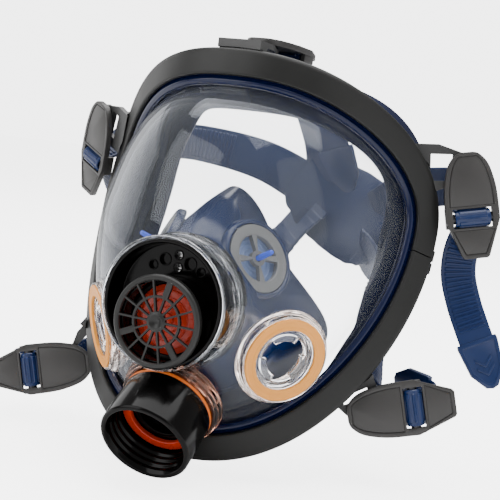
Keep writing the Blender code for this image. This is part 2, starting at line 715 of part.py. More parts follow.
def port_inlet_valve(place, neck_end):
    """Spider seat pressed behind the neck and its soft disc, which lifts into the mask."""
    high = neck_end - GAP
    seat = disc("port_valve_seat", 13.3 * MM, high - 2 * MM, high, VALVE_GREY, place)
    windows = [sector(3.4 * MM, 10.2 * MM, 90 * i + 10, 90 * i + 80) for i in range(4)]
    cutter = prism("port_valve_windows", windows, high - 5 * MM, high + 3 * MM, place=place,
                   cutter=True)
    boolean(seat, cutter, "DIFFERENCE")
    stem_hole = disc("port_stem_hole", 1.7 * MM, high - 5 * MM, high + 3 * MM, place=place,
                     steps=SMALL, cutter=True)
    boolean(seat, stem_hole, "DIFFERENCE")
    face = high - 2 * MM - GAP
    profile = [(0, high + 4 * MM), (1.3 * MM, high + 4 * MM), (1.3 * MM, face),
               (11.2 * MM, face), (11.2 * MM, face - 0.8 * MM), (0, face - 0.8 * MM)]
    turned("port_valve", profile, VALVE_BLUE, place)


def bayonet_inlet(side, word):
    place = inlet_place(side)
    ring(f"inlet_gasket_{word}", 15.7 * MM, 21.2 * MM, -1.7 * MM, 0, ORANGE, place)
    insert = ring(f"inlet_insert_{word}", 9.0 * MM, 15.3 * MM, -5.0 * MM, -2.2 * MM, CLEAR, place)
    slots = [sector(8 * MM, 11.8 * MM, 120 * i + 10, 120 * i + 62) for i in range(3)]
    cutter = prism(f"inlet_slots_{word}", slots, -8 * MM, 0, place=place, cutter=True)
    boolean(insert, cutter, "DIFFERENCE")


# ---------------------------------------------------------------- buckles and anchors

def buckle_place(name):
    """Local Z out of the buckle's face, local Y along its length, origin on its swivel."""
    pivot, length, normal, _ = BUCKLES[name]
    return facing(Vector(pivot) * MM, normal, length)


def leaf_outline(inset=0.0):
    """Round end, swelling sides and tapered tail of the buckle, as an outline."""
    sides = ((0.0, 4.2), (2.0, 7.2), (5.5, 9.8), (12.0, 12.1), (21.0, 13.6), (34.0, 14.0),
             (38.5, 13.2), (54.2, 6.9), (55.0, 6.0))
    half = []
    for along, width in sides:
        y = min(max(along * MM, inset), BUCKLE_LENGTH - inset) - PIVOT_INSET
        half.append((width * MM - inset, y))
    return half + [(-x, y) for x, y in reversed(half)]


def box_outline(low_x, high_x, low_y, high_y):
    return [(low_x, low_y), (high_x, low_y), (high_x, high_y), (low_x, high_y)]


def buckle(name, place):
    """Leaf-shaped plate with a strap slot, side rails that hold the bar, and sunk faces."""
    body = prism(f"buckle_{name}", [leaf_outline()], BUCKLE_BACK, BUCKLE_FRONT, GREY, place)
    for side in (1, -1):
        low_x, high_x = sorted((side * 11.0 * MM, side * 13.4 * MM))
        foot = box_outline(low_x, high_x, BAR_AT - 6 * MM, BAR_AT + SLOT_HALF)
        rail = prism(f"rail_{name}_{side}", [foot], -3.2 * MM, 2 * MM, place=place, cutter=True)
        boolean(body, rail, "UNION")
    opening = box_outline(-10.3 * MM, 10.3 * MM, BAR_AT - SLOT_HALF, BAR_AT + SLOT_HALF)
    slot = prism(f"slot_{name}", [opening], -6 * MM, 8 * MM, place=place, cutter=True)
    boolean(body, slot, "DIFFERENCE")
    face = prism(f"recess_{name}", recess_outlines(), BUCKLE_FRONT - 0.7 * MM,
                 BUCKLE_FRONT + 2 * MM, place=place, cutter=True)
    boolean(body, face, "DIFFERENCE")
    hole = disc(f"bar_hole_{name}", BAR_RADIUS + GAP * 0.5, -16 * MM, 16 * MM, steps=SMALL,
                place=bar_place(place), cutter=True)
    boolean(body, hole, "DIFFERENCE")
    socket = disc(f"socket_{name}", PIVOT_HOLE, -1 * MM, 2.6 * MM, steps=SMALL, place=place,
                  cutter=True)
    boolean(body, socket, "DIFFERENCE")
    return body


def bar_place(place):
    """Local +Z across the buckle, along its strap bar."""
    return place @ facing(Vector((0, BAR_AT, BAR_HEIGHT)), X_AXIS)


def buckle_rivet(name, place):
    """Headed pin pressed into the buckle from behind, on which it swivels."""
    profile = [(0, 2.3), (2.4, 2.3), (2.4, -3.6), (4.6, -3.6), (4.2, -5.2), (0, -5.2)]
    profile = [(radius * MM, height * MM) for radius, height in profile]
    return turned(f"buckle_rivet_{name}", profile, BLACK, place, steps=SMALL)


def swivelling_buckle(name):
    """The buckle and all that turns with it, hung on an empty on the swivel's axis."""
    place = buckle_place(name)
    swivel = bpy.data.objects.new(f"swivel_{name}", None)
    swivel.matrix_world = place
    MODEL.objects.link(swivel)
    bar = disc(f"buckle_bar_{name}", BAR_RADIUS, -13 * MM, 13 * MM, STEEL, bar_place(place), SMALL)
    for piece in (buckle(name, place), bar, buckle_rivet(name, place), strap_end(name)):
        parented(piece, swivel)


def recess_outlines():
    """The sunk faces on both sides of the strap slot, inside a 2 mm border."""
    border = 2 * MM
    outline = [(x, y) for x, y in leaf_outline(border) if x > 0]
    split_low = BAR_AT - SLOT_HALF
    split_high = BAR_AT + SLOT_HALF
    lower = [(x, y) for x, y in outline if y < split_low]
    upper = [(x, y) for x, y in outline if y > split_high]
    lower.append((11.4 * MM, split_low + 1 * MM))
    upper.insert(0, (11.4 * MM, split_high - 1 * MM))
    return [half + [(-x, y) for x, y in reversed(half)] for half in (lower, upper)]


def strap_anchor(name):
    """Tab from the rim to the swivel, with a window, cut to rest on the rim."""
    pivot, _, normal, angle = BUCKLES[name]
    pivot = Vector(pivot) * MM
    normal = Vector(normal).normalized()
    root = rim_section(math.radians(angle), ((-4.5, -8, 0, 0),))[0]
    towards = root - pivot
    towards -= towards.dot(normal) * normal
    reach = towards.length
    place = facing(pivot, buckle_place(name).to_3x3() @ Z_AXIS, towards)
    half = 12 * MM
    outline = arc(0, 0, 7 * MM, 180, 360, 8) + [(half, reach * 0.55), (half, reach),
                                                (-half, reach), (-half, reach * 0.55)]
    tab = prism(f"strap_anchor_{name}", [outline], -3.2 * MM, -0.4 * MM, BLACK, place)
    lift = (root - pivot).dot(place.to_3x3() @ Z_AXIS)
    block_low, block_high = sorted((lift, -1.8 * MM))
    block = prism(f"anchor_block_{name}", [box_outline(-half, half, reach - 4 * MM, reach + 4 * MM)],
                  block_low - 1.4 * MM, block_high + 1.4 * MM, place=place, cutter=True)
    boolean(tab, block, "UNION")
    if reach > 18 * MM:
        window = prism(f"anchor_window_{name}",
                       [box_outline(-7 * MM, 7 * MM, 7.2 * MM, reach - 8 * MM)], -9 * MM, 9 * MM,
                       place=place, cutter=True)
        boolean(tab, window, "DIFFERENCE")
    hole = disc(f"anchor_hole_{name}", PIVOT_HOLE, -9 * MM, 9 * MM, steps=SMALL, place=place,
                cutter=True)
    boolean(tab, hole, "DIFFERENCE")
    boolean(tab, rim_envelope(), "DIFFERENCE")
    return tab


# ---------------------------------------------------------------- straps and harness

def smooth(points, steps):
    """Points on a smooth curve (Catmull-Rom) through the given ones."""
    padded = [2 * points[0] - points[1]] + points + [2 * points[-1] - points[-2]]
    curve = []
    for i in range(len(points) - 1):
        p0, p1, p2, p3 = padded[i:i + 4]
        for j in range(steps):
            s = j / steps
            curve.append(0.5 * ((2 * p1) + (p2 - p0) * s + (2 * p0 - 5 * p1 + 4 * p2 - p3) * s * s
                                + (3 * p1 - p0 - 3 * p2 + p3) * s ** 3))
    curve.append(points[-1].copy())
    return curve


def ribbon(name, path, sideways, half_width, wall, mat, cutter=False):
    """Flat strap along a path; sideways gives its width direction at each point."""
    rings = []
    for i, point in enumerate(path):
        ahead = path[min(i + 1, len(path) - 1)] - path[max(i - 1, 0)]
        side = sideways[i] - sideways[i].project(ahead)
        side.normalize()
        face = side.cross(ahead).normalized() * wall / 2
        half = half_width[i] if isinstance(half_width, list) else half_width
        rings.append([point - side * half - face, point + side * half - face,
                      point + side * half + face, point - side * half + face])
    return loft(name, rings, mat, loop=False, cutter=cutter)


def strap_loop_path():
    """Side view (along, out) of the strap over the bar, from behind the buckle and back."""
    radius = BAR_RADIUS + GAP + STRAP_WALL / 2
    angles = [math.radians(22.5 * i) for i in range(9)]
    return [(BAR_AT - radius * math.cos(a), BAR_HEIGHT + radius * math.sin(a)) for a in angles]


# Free ends of the straps, from behind the bar to the tab, in each buckle's own axes (mm)
STRAP_TAILS = {
    "top": ((0, 31, -9), (3, 44, -16), (12, 58, -30), (18, 66, -46)),
    "upper_left": ((1, 33, -6), (6, 44, -8), (8, 56, -9), (6.5, 70, -9), (4, 82, -8),
                   (1.6, 92, -7)),
    "upper_right": ((0, 34, -7), (0, 46, -13), (0, 58, -20)),
    "lower_left": ((1, 33, -7), (0, 38.5, -11.5), (-3, 35, -18)),
    "lower_right": ((0, 33, -7), (0, 38.5, -11.5), (1, 36, -19)),
}
STRAP_LEAD = ((0, 21.6, -4.0), (0, 19.0, -9.5), (0, 12, -13))
# Pointed tab on each free end: distance along and half width
STRAP_TAB = ((1.0 * MM, 10.6 * MM), (15.0 * MM, 9.0 * MM), (24.0 * MM, 2.6 * MM))


def strap_end(name):
    """Part of the strap that moves with the buckle: lead, turn over the bar, and free tail."""
    place = buckle_place(name)
    over = [Vector((0, y, z)) for y, z in strap_loop_path()]
    lead = [Vector(point) * MM for point in reversed(STRAP_LEAD)]
    tail = [Vector(point) * MM for point in STRAP_TAILS[name]]
    path = smooth(lead, 2) + over + smooth([over[-1] + Vector((0, 0.4 * MM, -2 * MM))] + tail, 3)
    path = [place @ point for point in path]
    side = place.to_3x3() @ X_AXIS
    halves = [STRAP_HALF_WIDTH] * len(path)
    root, ahead = path[-1], (path[-1] - path[-2]).normalized()
    for along, half in STRAP_TAB:
        path.append(root + ahead * along)
        halves.append(half)
    return ribbon(f"strap_end_{name}", path, [side] * len(path), halves, STRAP_WALL, BLUE)


PAD_PATH = ((-4, 86, 40), (10, 90, 30), (26, 91, 22), (42, 88, 14), (54, 82, 8))
PAD_HALF_WIDTHS = (14, 19, 23, 25, 26, 26, 25, 22, 17)
PAD_SIDE = Vector((0.3, 0.2, 0.9)).normalized()
# Harness arms: station and height on the pad where each starts, route to just behind its
# buckle (mm), and the direction of its width
HARNESS_ARMS = {
    "top": (2, 8, ((10, 86, 58), (4, 68, 82), (3, 46, 93)), (1, 0, 0)),
    "upper_left": (6, 10, ((66, 78, 38), (92, 64, 44), (106, 52, 44)), (0, -0.2, 1)),
    "upper_right": (2, 0, ((-24, 82, 45), (-60, 71, 51), (-82, 62.5, 50),
                       (-96, 48, 48)), (0, 0.15, 1)),
    "lower_left": (6, -10, ((60, 70, -18), (63, 50, -44), (76, 24, -66)), (-0.5, 0.2, 0.8)),
    "lower_right": (2, -6, ((-24, 76, -20), (-64, 52, -54), (-94, 22, -76)), (0.4, 0.3, 0.85)),
}


def head_harness():
    """One rubber moulding: a back pad with five arms."""
    path = smooth([Vector(point) * MM for point in PAD_PATH], 2)
    pad = ribbon("head_harness", path, [PAD_SIDE] * len(path),
                 [half * MM for half in PAD_HALF_WIDTHS], 2.4 * MM, BLUE)
    for name, (station, height, route, side) in HARNESS_ARMS.items():
        start = path[station] + PAD_SIDE * height * MM
        points = smooth([start] + [Vector(point) * MM for point in route], 3)
        count = len(points)
        halves = [(13 - 4 * i / (count - 1)) * MM for i in range(count)]
        arm = ribbon(f"harness_arm_{name}", points, [Vector(side)] * count, halves, 2.0 * MM, BLUE,
                     cutter=True)
        boolean(pad, arm, "UNION")
    return pad


# ---------------------------------------------------------------- assembly

def build():
    rim_frames()
    face_seal()
    visor()
    nose_cup()
    for side, word in ((1, "left"), (-1, "right")):
        inhalation_valve(side, word)
        bayonet_inlet(side, word)
    front_housing()
    clamp_ring()
    speech_parts()
    exhalation_parts()
    canister_port()
    for name in BUCKLES:
        swivelling_buckle(name)
        strap_anchor(name)
    head_harness()


build()
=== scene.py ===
"""Looks of the full-face respirator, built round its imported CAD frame.

Units are metres, +Z is up, the visor faces -Y and +X is the wearer's left, as in the frame.
Sections, profiles and sizes without MM are in millimetres, scaled where points are placed.
"""
import math

import bmesh
import bpy
from mathutils import Matrix, Vector


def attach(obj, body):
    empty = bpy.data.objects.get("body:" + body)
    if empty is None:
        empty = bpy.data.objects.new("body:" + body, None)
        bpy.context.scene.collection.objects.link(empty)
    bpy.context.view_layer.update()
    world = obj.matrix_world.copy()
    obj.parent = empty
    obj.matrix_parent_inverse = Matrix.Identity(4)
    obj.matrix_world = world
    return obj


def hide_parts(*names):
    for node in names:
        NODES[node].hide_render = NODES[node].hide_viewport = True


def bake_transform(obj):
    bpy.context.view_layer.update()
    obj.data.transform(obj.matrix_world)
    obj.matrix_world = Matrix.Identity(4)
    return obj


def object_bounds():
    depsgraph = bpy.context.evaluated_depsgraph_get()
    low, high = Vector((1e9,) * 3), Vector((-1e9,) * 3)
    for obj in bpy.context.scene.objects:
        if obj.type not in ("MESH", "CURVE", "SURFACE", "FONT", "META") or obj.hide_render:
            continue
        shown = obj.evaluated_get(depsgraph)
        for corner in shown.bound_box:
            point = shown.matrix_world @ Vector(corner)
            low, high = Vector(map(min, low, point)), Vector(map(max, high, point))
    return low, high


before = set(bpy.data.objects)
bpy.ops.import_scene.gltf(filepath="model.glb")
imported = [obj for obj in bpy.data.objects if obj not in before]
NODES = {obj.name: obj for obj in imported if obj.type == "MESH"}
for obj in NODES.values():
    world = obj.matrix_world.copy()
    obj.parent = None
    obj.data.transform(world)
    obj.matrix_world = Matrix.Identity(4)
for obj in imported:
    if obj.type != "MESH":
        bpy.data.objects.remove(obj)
CAD_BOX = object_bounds()

MM = 0.001
X_AXIS = Vector((1, 0, 0))
Y_AXIS = Vector((0, 1, 0))
Z_AXIS = Vector((0, 0, 1))
FINE = 112                          # sides of a turned piece
SIDES = ((1, "left"), (-1, "right"))

# Rim outline and its depth, as in the CAD model
RIM_HALF_WIDTH = 98.6 * MM
RIM_TOP = 101.3 * MM
RIM_BOTTOM = -104.6 * MM
RIM_WAIST = 16.8 * MM
RIM_SQUARENESS = (0.84, 0.86)       # at the top, at the bottom
RIM_DEPTH = -44.1 * MM
RIM_LEAN = 8.4 * MM
RIM_SWEEP = 70.8 * MM
RIM_BIAS = 19.5 * MM
RIM_TILT = (math.radians(12), math.radians(51))     # at top and bottom, at the temples
RIM_SEAM = math.radians(95)
RIM_SEAM_GAP = math.radians(0.15)
AROUND = 160                        # stations round the rim, the seal and the visor

VISOR_WALL = 2.2 * MM
DOME_POLE = Vector((0, -78.5, -15)) * MM
DOME_ANGLE = 81                     # degrees from the pole to the flange
DOME_RINGS = 26
HOUSING_Z = -23.8
HOUSING_RADIUS = 30.2
HOUSING_FLOOR = 76.0                # distance in front of the origin
HOUSING_BACK = HOUSING_FLOOR - 2.4
SPEECH_Z = -5.2
FILM_RADIUS = 7.6
EXHALE_Z = -32.2
PORT_MOUTH = Vector((0, -91.4, -90.2)) * MM
PORT_PITCH = math.radians(33.8)
PORT_LENGTH = 25.0
THREAD_PITCH = 3.63
THREAD_TURNS = 4
INLET_CENTRE = Vector((51.3, -52.3, -46.5)) * MM
INLET_AXIS = Vector((0.736, -0.640, -0.220)).normalized()
INHALE_CENTRE = Vector((26.5, -42.0, -1.0)) * MM
INHALE_AXIS = Vector((0.80, -0.42, 0.43)).normalized()
INHALE_RADIUS = 17.5

BUCKLE_LENGTH = 55.0
PIVOT_INSET = 8.0
BAR_AT = 26.0
BAR_HEIGHT = 0.9
BAR_RADIUS = 2.6
SLOT_HALF = 5.0
FACE_BORDER = 2.2                   # width of a buckle's edge round its sunk faces
STRAP_HALF_WIDTH = 9.2
STRAP_WALL = 1.6
STRAP_STEP = 0.42 * MM              # distance between a strap's sections
ARM_STEP = 0.46 * MM                # the same along a harness arm
RIB_PITCH = 2.3 * MM
RIB_HEIGHT = 0.6 * MM

# Each buckle: pivot (mm), direction of its length, outward normal
BUCKLES = {
    "top": ((2.0, -3.0, 104.5), (0.10, 0.98, -0.05), (0.0, 0.05, 1.0)),
    "upper_left": ((107.0, 33.0, 55.0), (0.225, 0.0, -0.974), (0.40, -0.91, 0.08)),
    "upper_right": ((-104.0, 27.0, 60.0), (-0.24, 0.20, -0.92), (-0.54, -0.82, -0.10)),
    "lower_left": ((78.5, -3.5, -74.5), (0.893, 0.379, 0.242), (0.37, -0.925, 0.085)),
    "lower_right": ((-88.0, -4.0, -78.0), (-0.896, -0.38, -0.232), (0.30, -0.93, 0.085)),
}


# ---- camera, lights and floor

CAMERA_PLACE = Vector((253.447, -619.807, 55.586)) * MM
# Right, up and back along the line of sight
CAMERA_AXES = (Vector((0.91839, 0.37819, 0.11630)), Vector((-0.13956, 0.03458, 0.98961)),
               Vector((0.37024, -0.92508, 0.08453)))
CAMERA_LENS = 91.6

# Soft boxes aimed at the object: place and size in metres, power in watts
LIGHTS = {
    "top": ((0.1, 0.2, 1.5), (2.2, 1.7), 52),
    "key": ((-1.0, -1.2, 0.9), (1.4, 1.4), 17),
    "side": ((1.5, -0.4, 0.5), (0.8, 1.5), 4),
    "back_left": ((-2.2, 0.6, 0.3), (2.0, 1.7), 15),
}
WORLD_LIGHT = 0.45                  # brightness that reaches the object
WORLD_SEEN = 4.6                    # brightness behind and through the object
FLOOR_SEEN = 4.0
FLOOR_RADIUS = 9.0
FLOOR_GAP = 3 * MM


def camera():
    """Camera at the viewing position, looking at the visor from the wearer's left."""
    data = bpy.data.cameras.new("camera")
    data.sensor_width = 36
    data.lens = CAMERA_LENS
    data.clip_start = 0.02
    obj = bpy.data.objects.new("camera", data)
    turn = Matrix(CAMERA_AXES).transposed().to_4x4()
    obj.matrix_world = Matrix.Translation(CAMERA_PLACE) @ turn
    bpy.context.scene.collection.objects.link(obj)
    bpy.context.scene.camera = obj


def area_light(name, place, size, power):
    """Rectangular lamp that faces the origin."""
    data = bpy.data.lights.new(name, "AREA")
    data.shape = "RECTANGLE"
    data.size, data.size_y = size
    data.energy = power
    obj = bpy.data.objects.new(name, data)
    obj.location = place
    obj.rotation_euler = (-Vector(place)).to_track_quat("-Z", "Y").to_euler()
    bpy.context.scene.collection.objects.link(obj)


def fill(node, values):
    """Sets the node's own inputs."""
    for socket, value in values.items():
        node.inputs[socket].default_value = value


def ranged(nodes, links, value, low, high):
    """Socket that runs from low to high as the value runs from 0 to 1."""
    spread = nodes.new("ShaderNodeMapRange")
    fill(spread, {"To Min": low, "To Max": high})
    links.new(value, spread.inputs["Value"])
    return spread.outputs["Result"]


def seen_strength(nodes, links, socket, other, seen):
    """Brightness that is high only where the camera or clear plastic looks straight at it."""
    path = nodes.new("ShaderNodeLightPath")
    straight = nodes.new("ShaderNodeMath")
    straight.operation = "MAXIMUM"
    links.new(path.outputs["Is Camera Ray"], straight.inputs[0])
    links.new(path.outputs["Is Transmission Ray"], straight.inputs[1])
    links.new(ranged(nodes, links, straight.outputs[0], other, seen), socket)


def white_room():
    """World that looks white behind and through the object but lights it only softly."""
    world = bpy.data.worlds.new("studio")
    world.use_nodes = True
    nodes, links = world.node_tree.nodes, world.node_tree.links
    background = nodes["Background"]
    fill(background, {"Color": (1.0, 1.0, 1.0, 1)})
    seen_strength(nodes, links, background.inputs["Strength"], WORLD_LIGHT, WORLD_SEEN)
    bpy.context.scene.world = world


def studio():
    """Soft boxes above, in front and at the sides, and a pale floor under the lowest point."""
    white_room()
    for name, (place, size, power) in LIGHTS.items():
        area_light(name, place, size, power)
    mesh = bpy.data.meshes.new("floor")
    bm = bmesh.new()
    bmesh.ops.create_circle(bm, cap_ends=True, segments=64, radius=FLOOR_RADIUS)
    bm.to_mesh(mesh)
    bm.free()
    floor = bpy.data.objects.new("floor", mesh)
    floor.location.z = CAD_BOX[0][2] - FLOOR_GAP
    mesh.materials.append(floor_material())
    bpy.context.scene.collection.objects.link(floor)


# ---- materials

# Colour sockets of a Mix node, which shares its socket names between its data types
MIX_A, MIX_B, MIX_RESULT = 6, 7, 2


def node_material(name):
    mat = bpy.data.materials.new(name)
    mat.use_nodes = True
    nodes = mat.node_tree.nodes
    return mat, nodes, mat.node_tree.links, nodes["Principled BSDF"]


def floor_material():
    mat, nodes, links, shader = node_material("pale_floor")
    fill(shader, {"Base Color": (0.93, 0.93, 0.93, 1), "Roughness": 0.85,
                  "Emission Color": (1.0, 1.0, 1.0, 1)})
    seen_strength(nodes, links, shader.inputs["Emission Strength"], 0.0, FLOOR_SEEN)
    return mat


def noise_node(nodes, links, coords, scale, detail=3.0):
    noise = nodes.new("ShaderNodeTexNoise")
    fill(noise, {"Scale": scale, "Detail": detail})
    links.new(coords.outputs["Object"], noise.inputs["Vector"])
    return noise.outputs["Fac"]


def relief(nodes, links, shader, height, strength, distance):
    """Bump on the shader's surface; the distance is in metres."""
    bump = nodes.new("ShaderNodeBump")
    fill(bump, {"Strength": strength, "Distance": distance})
    links.new(height, bump.inputs["Height"])
    links.new(bump.outputs["Normal"], shader.inputs["Normal"])


def moulded(name, color, roughness, grain=1400, bump=0.06, blotch=0.12, rough_spread=0.08,
            coat=0.0, specular=0.5, metallic=0.0):
    """Moulded plastic or rubber: fine grain, faint blotches of colour and uneven gloss."""
    mat, nodes, links, shader = node_material(name)
    coords = nodes.new("ShaderNodeTexCoord")
    tone = nodes.new("ShaderNodeMix")
    tone.data_type = "RGBA"
    links.new(noise_node(nodes, links, coords, 38), tone.inputs["Factor"])
    for socket, share in ((MIX_A, 1 - blotch), (MIX_B, 1 + blotch)):
        value = [min(1.0, channel * share) for channel in color]
        tone.inputs[socket].default_value = (*value, 1)
    links.new(tone.outputs[MIX_RESULT], shader.inputs["Base Color"])
    gloss = ranged(nodes, links, noise_node(nodes, links, coords, 90, 4),
                   max(0.02, roughness - rough_spread), roughness + rough_spread)
    links.new(gloss, shader.inputs["Roughness"])
    relief(nodes, links, shader, noise_node(nodes, links, coords, grain, 2), bump, 0.2 * MM)
    fill(shader, {"Coat Weight": coat, "Coat Roughness": 0.08,
                  "Specular IOR Level": specular, "Metallic": metallic})
    return mat


def clear_shell_material():
    """Thin clear polycarbonate: see-through face on, mirror-like at its edges, a little hazy."""
    mat, nodes, links, shader = node_material("clear_polycarbonate")
    fill(shader, {"Base Color": (0.86, 0.89, 0.94, 1), "Roughness": 0.04, "Metallic": 0.85})
    through = nodes.new("ShaderNodeBsdfTransparent")
    fill(through, {"Color": (0.972, 0.976, 0.982, 1)})
    haze = nodes.new("ShaderNodeBsdfDiffuse")
    fill(haze, {"Color": (0.80, 0.86, 0.95, 1)})
    hazy = nodes.new("ShaderNodeMixShader")
    fill(hazy, {"Fac": 0.016})
    links.new(through.outputs["BSDF"], hazy.inputs[1])
    links.new(haze.outputs["BSDF"], hazy.inputs[2])
    weight = nodes.new("ShaderNodeLayerWeight")
    fill(weight, {"Blend": 0.5})
    power = nodes.new("ShaderNodeMath")
    power.operation = "POWER"
    fill(power, {1: 4.0})
    links.new(weight.outputs["Facing"], power.inputs[0])
    mix = nodes.new("ShaderNodeMixShader")
    links.new(ranged(nodes, links, power.outputs[0], 0.022, 0.80), mix.inputs["Fac"])
    links.new(hazy.outputs["Shader"], mix.inputs[1])
    links.new(shader.outputs["BSDF"], mix.inputs[2])
    links.new(mix.outputs["Shader"], nodes["Material Output"].inputs["Surface"])
    return mat


def clear_solid_material(name, tint_and_painted_reflection):
    """Thick clear polycarbonate of the collar and bosses, faintly uneven inside; its colour tints
    what is seen through it, and the bosses' warm and amber colours are a painted reflection of the
    orange washers.
    """
    mat, nodes, links, shader = node_material(name)
    fill(shader, {"Base Color": (*tint_and_painted_reflection, 1), "Transmission Weight": 1.0, "IOR": 1.45})
    coords = nodes.new("ShaderNodeTexCoord")
    waves = noise_node(nodes, links, coords, 130, 2)
    links.new(ranged(nodes, links, waves, 0.01, 0.06), shader.inputs["Roughness"])
    relief(nodes, links, shader, waves, 0.12, 1 * MM)
    return mat


CLEAR = clear_shell_material()
CLEAR_THICK = clear_solid_material("clear_polycarbonate_thick", (0.95, 0.96, 0.98))
# Warm and amber colours of the clear bosses: painted reflection of the orange washers beside them
CLEAR_PAINTED_ORANGE_REFLECTION = clear_solid_material("clear_polycarbonate_painted_orange_reflection", (0.97, 0.86, 0.78))
CLEAR_PAINTED_DEEP_ORANGE_REFLECTION = clear_solid_material("clear_polycarbonate_painted_deep_orange_reflection", (0.62, 0.30, 0.20))
RIM_BLACK = moulded("rim_plastic", (0.012, 0.012, 0.0115), 0.42, grain=1100, bump=0.10,
                    specular=0.32)
GLOSS_BLACK = moulded("gloss_plastic", (0.0016, 0.0013, 0.0013), 0.14, grain=500, bump=0.02,
                      rough_spread=0.04, specular=0.16)
GRILLE_BLACK = moulded("grille_plastic", (0.016, 0.016, 0.0155), 0.36, grain=1300, bump=0.08,
                       specular=0.35)
BUCKLE_GREY = moulded("buckle_plastic", (0.042, 0.040, 0.039), 0.38, grain=1500, bump=0.12)
ANCHOR_GREY = moulded("anchor_plastic", (0.045, 0.045, 0.045), 0.35, grain=1300, bump=0.08)
SEAL_BLUE = moulded("seal_rubber", (0.0016, 0.0055, 0.036), 0.20, grain=260, bump=0.01,
                    specular=0.4)
CUP_BLUE = moulded("nose_cup_rubber", (0.0018, 0.014, 0.070), 0.22, grain=260, bump=0.012)
STRAP_BLUE = moulded("strap_rubber", (0.004, 0.019, 0.088), 0.34, grain=1500, bump=0.12)
SEAT_GREY = moulded("valve_seat_plastic", (0.19, 0.19, 0.185), 0.42, bump=0.05)
VALVE_BLUE = moulded("valve_silicone", (0.24, 0.34, 0.62), 0.25, blotch=0.2, coat=0.3)
STEM_BLUE = moulded("stem_silicone", (0.04, 0.12, 0.95), 0.25, coat=0.3)
ORANGE = moulded("orange_gasket", (1.0, 0.38, 0.05), 0.42, bump=0.05, blotch=0.05)
PORT_ORANGE = moulded("port_gasket_rubber", (0.85, 0.17, 0.012), 0.35, bump=0.05, blotch=0.08)
RED = moulded("red_silicone", (0.62, 0.030, 0.004), 0.28, blotch=0.15, coat=0.2)
FILM = moulded("diaphragm_film", (0.62, 0.62, 0.62), 0.22, grain=160, bump=0.4, metallic=1.0)
STEEL = moulded("plain_steel", (0.50, 0.50, 0.51), 0.30, grain=900, bump=0.05, metallic=1.0)
DARK_STEEL = moulded("darkened_steel", (0.060, 0.060, 0.064), 0.34, grain=900, bump=0.05,
                     metallic=1.0)


# ---- mesh helpers

def shade(mesh, sharp=35):
    """Smooth shading, with an edge kept sharp above this angle in degrees."""
    mesh.shade_smooth()
    mesh.set_sharp_from_angle(angle=math.radians(sharp))


def new_piece(name, bm, mat):
    mesh = bpy.data.meshes.new(name)
    bm.to_mesh(mesh)
    bm.free()
    obj = bpy.data.objects.new(name, mesh)
    bpy.context.scene.collection.objects.link(obj)
    mesh.materials.append(mat)
    shade(mesh)
    return obj


def flatten(obj, sharp=35):
    """Turns the modifiers' result into the piece's own mesh."""
    graph = bpy.context.evaluated_depsgraph_get()
    mesh = bpy.data.meshes.new_from_object(obj.evaluated_get(graph))
    obj.modifiers.clear()
    obj.data = mesh
    shade(mesh, sharp)
    return obj


def cut(obj, *tools, operation="DIFFERENCE"):
    for tool in tools:
        modifier = obj.modifiers.new(tool.name, "BOOLEAN")
        modifier.operation = operation
        modifier.object = tool
    flatten(obj)
    for tool in tools:
        bpy.data.objects.remove(tool, do_unlink=True)
    return obj


def bevel(obj, width):
    """Rounds the edges sharper than 40 degrees; the width is in millimetres."""
    modifier = obj.modifiers.new("round", "BEVEL")
    modifier.width = width * MM
    modifier.segments = 2
    modifier.limit_method = "ANGLE"
    modifier.angle_limit = math.radians(40)
    return modifier


def soften(obj, width):
    """The piece with its edges rounded, in its own mesh."""
    bevel(obj, width)
    return flatten(obj, 50)


def joined(obj, *others):
    """Adds the other pieces' meshes to this one."""
    bm = bmesh.new()
    bm.from_mesh(obj.data)
    for other in others:
        bm.from_mesh(other.data)
        bpy.data.objects.remove(other, do_unlink=True)
    bm.to_mesh(obj.data)
    bm.free()
    shade(obj.data)
    return obj


def placed(obj, slot, *nodes, body="root"):
    """Hangs the piece on its body and hides the CAD nodes it stands for; the slot is not used."""
    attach(obj, body)
    if nodes:
        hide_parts(*nodes)
    return obj


def facing(origin, z_axis, y_hint=Z_AXIS):
    """Placement with local +Z along z_axis and local +Y as near to y_hint as it can be."""
    z_axis = Vector(z_axis).normalized()
    x_axis = Vector(y_hint).cross(z_axis).normalized()
    y_axis = z_axis.cross(x_axis)
    turn = Matrix((x_axis, y_axis, z_axis)).transposed()
    return Matrix.Translation(origin) @ turn.to_4x4()


def side_place(side, centre, axis):
    """Placement with local +Z along the axis, mirrored for the wearer's right side."""
    if side > 0:
        return facing(centre, axis)
    mirror = Vector((-1, 1, 1))
    return facing(centre * mirror, axis * mirror)


def eased(share):
    """Share from 0 to 1 with a slow start and end."""
    return share * share * (3 - 2 * share)


def rounded(points, radius, steps=3, closed=True):
    """The outline with each corner turned into a short curve."""
    points = [Vector(point) for point in points]
    count = len(points)
    result = []
    for i, point in enumerate(points):
        if not closed and i in (0, count - 1):
            result.append(point)
            continue
        ends = []
        for other in (points[i - 1], points[(i + 1) % count]):
            share = min(radius / max(1e-6, math.dist(point, other)), 0.45)
            ends.append(point.lerp(other, share))
        for j in range(steps + 1):
            s = j / steps
            result.append(ends[0].lerp(point, s).lerp(point.lerp(ends[1], s), s))
    return result


def strip(bm, here, there):
    """Faces between two rings, either of which may be a single point."""
    count = max(len(here), len(there))
    for i in range(count):
        k = (i + 1) % count
        corners = [here[i % len(here)], there[i % len(there)], there[k % len(there)],
                   here[k % len(here)]]
        face = list(dict.fromkeys(corners))
        if len(face) > 2:
            bm.faces.new(face)


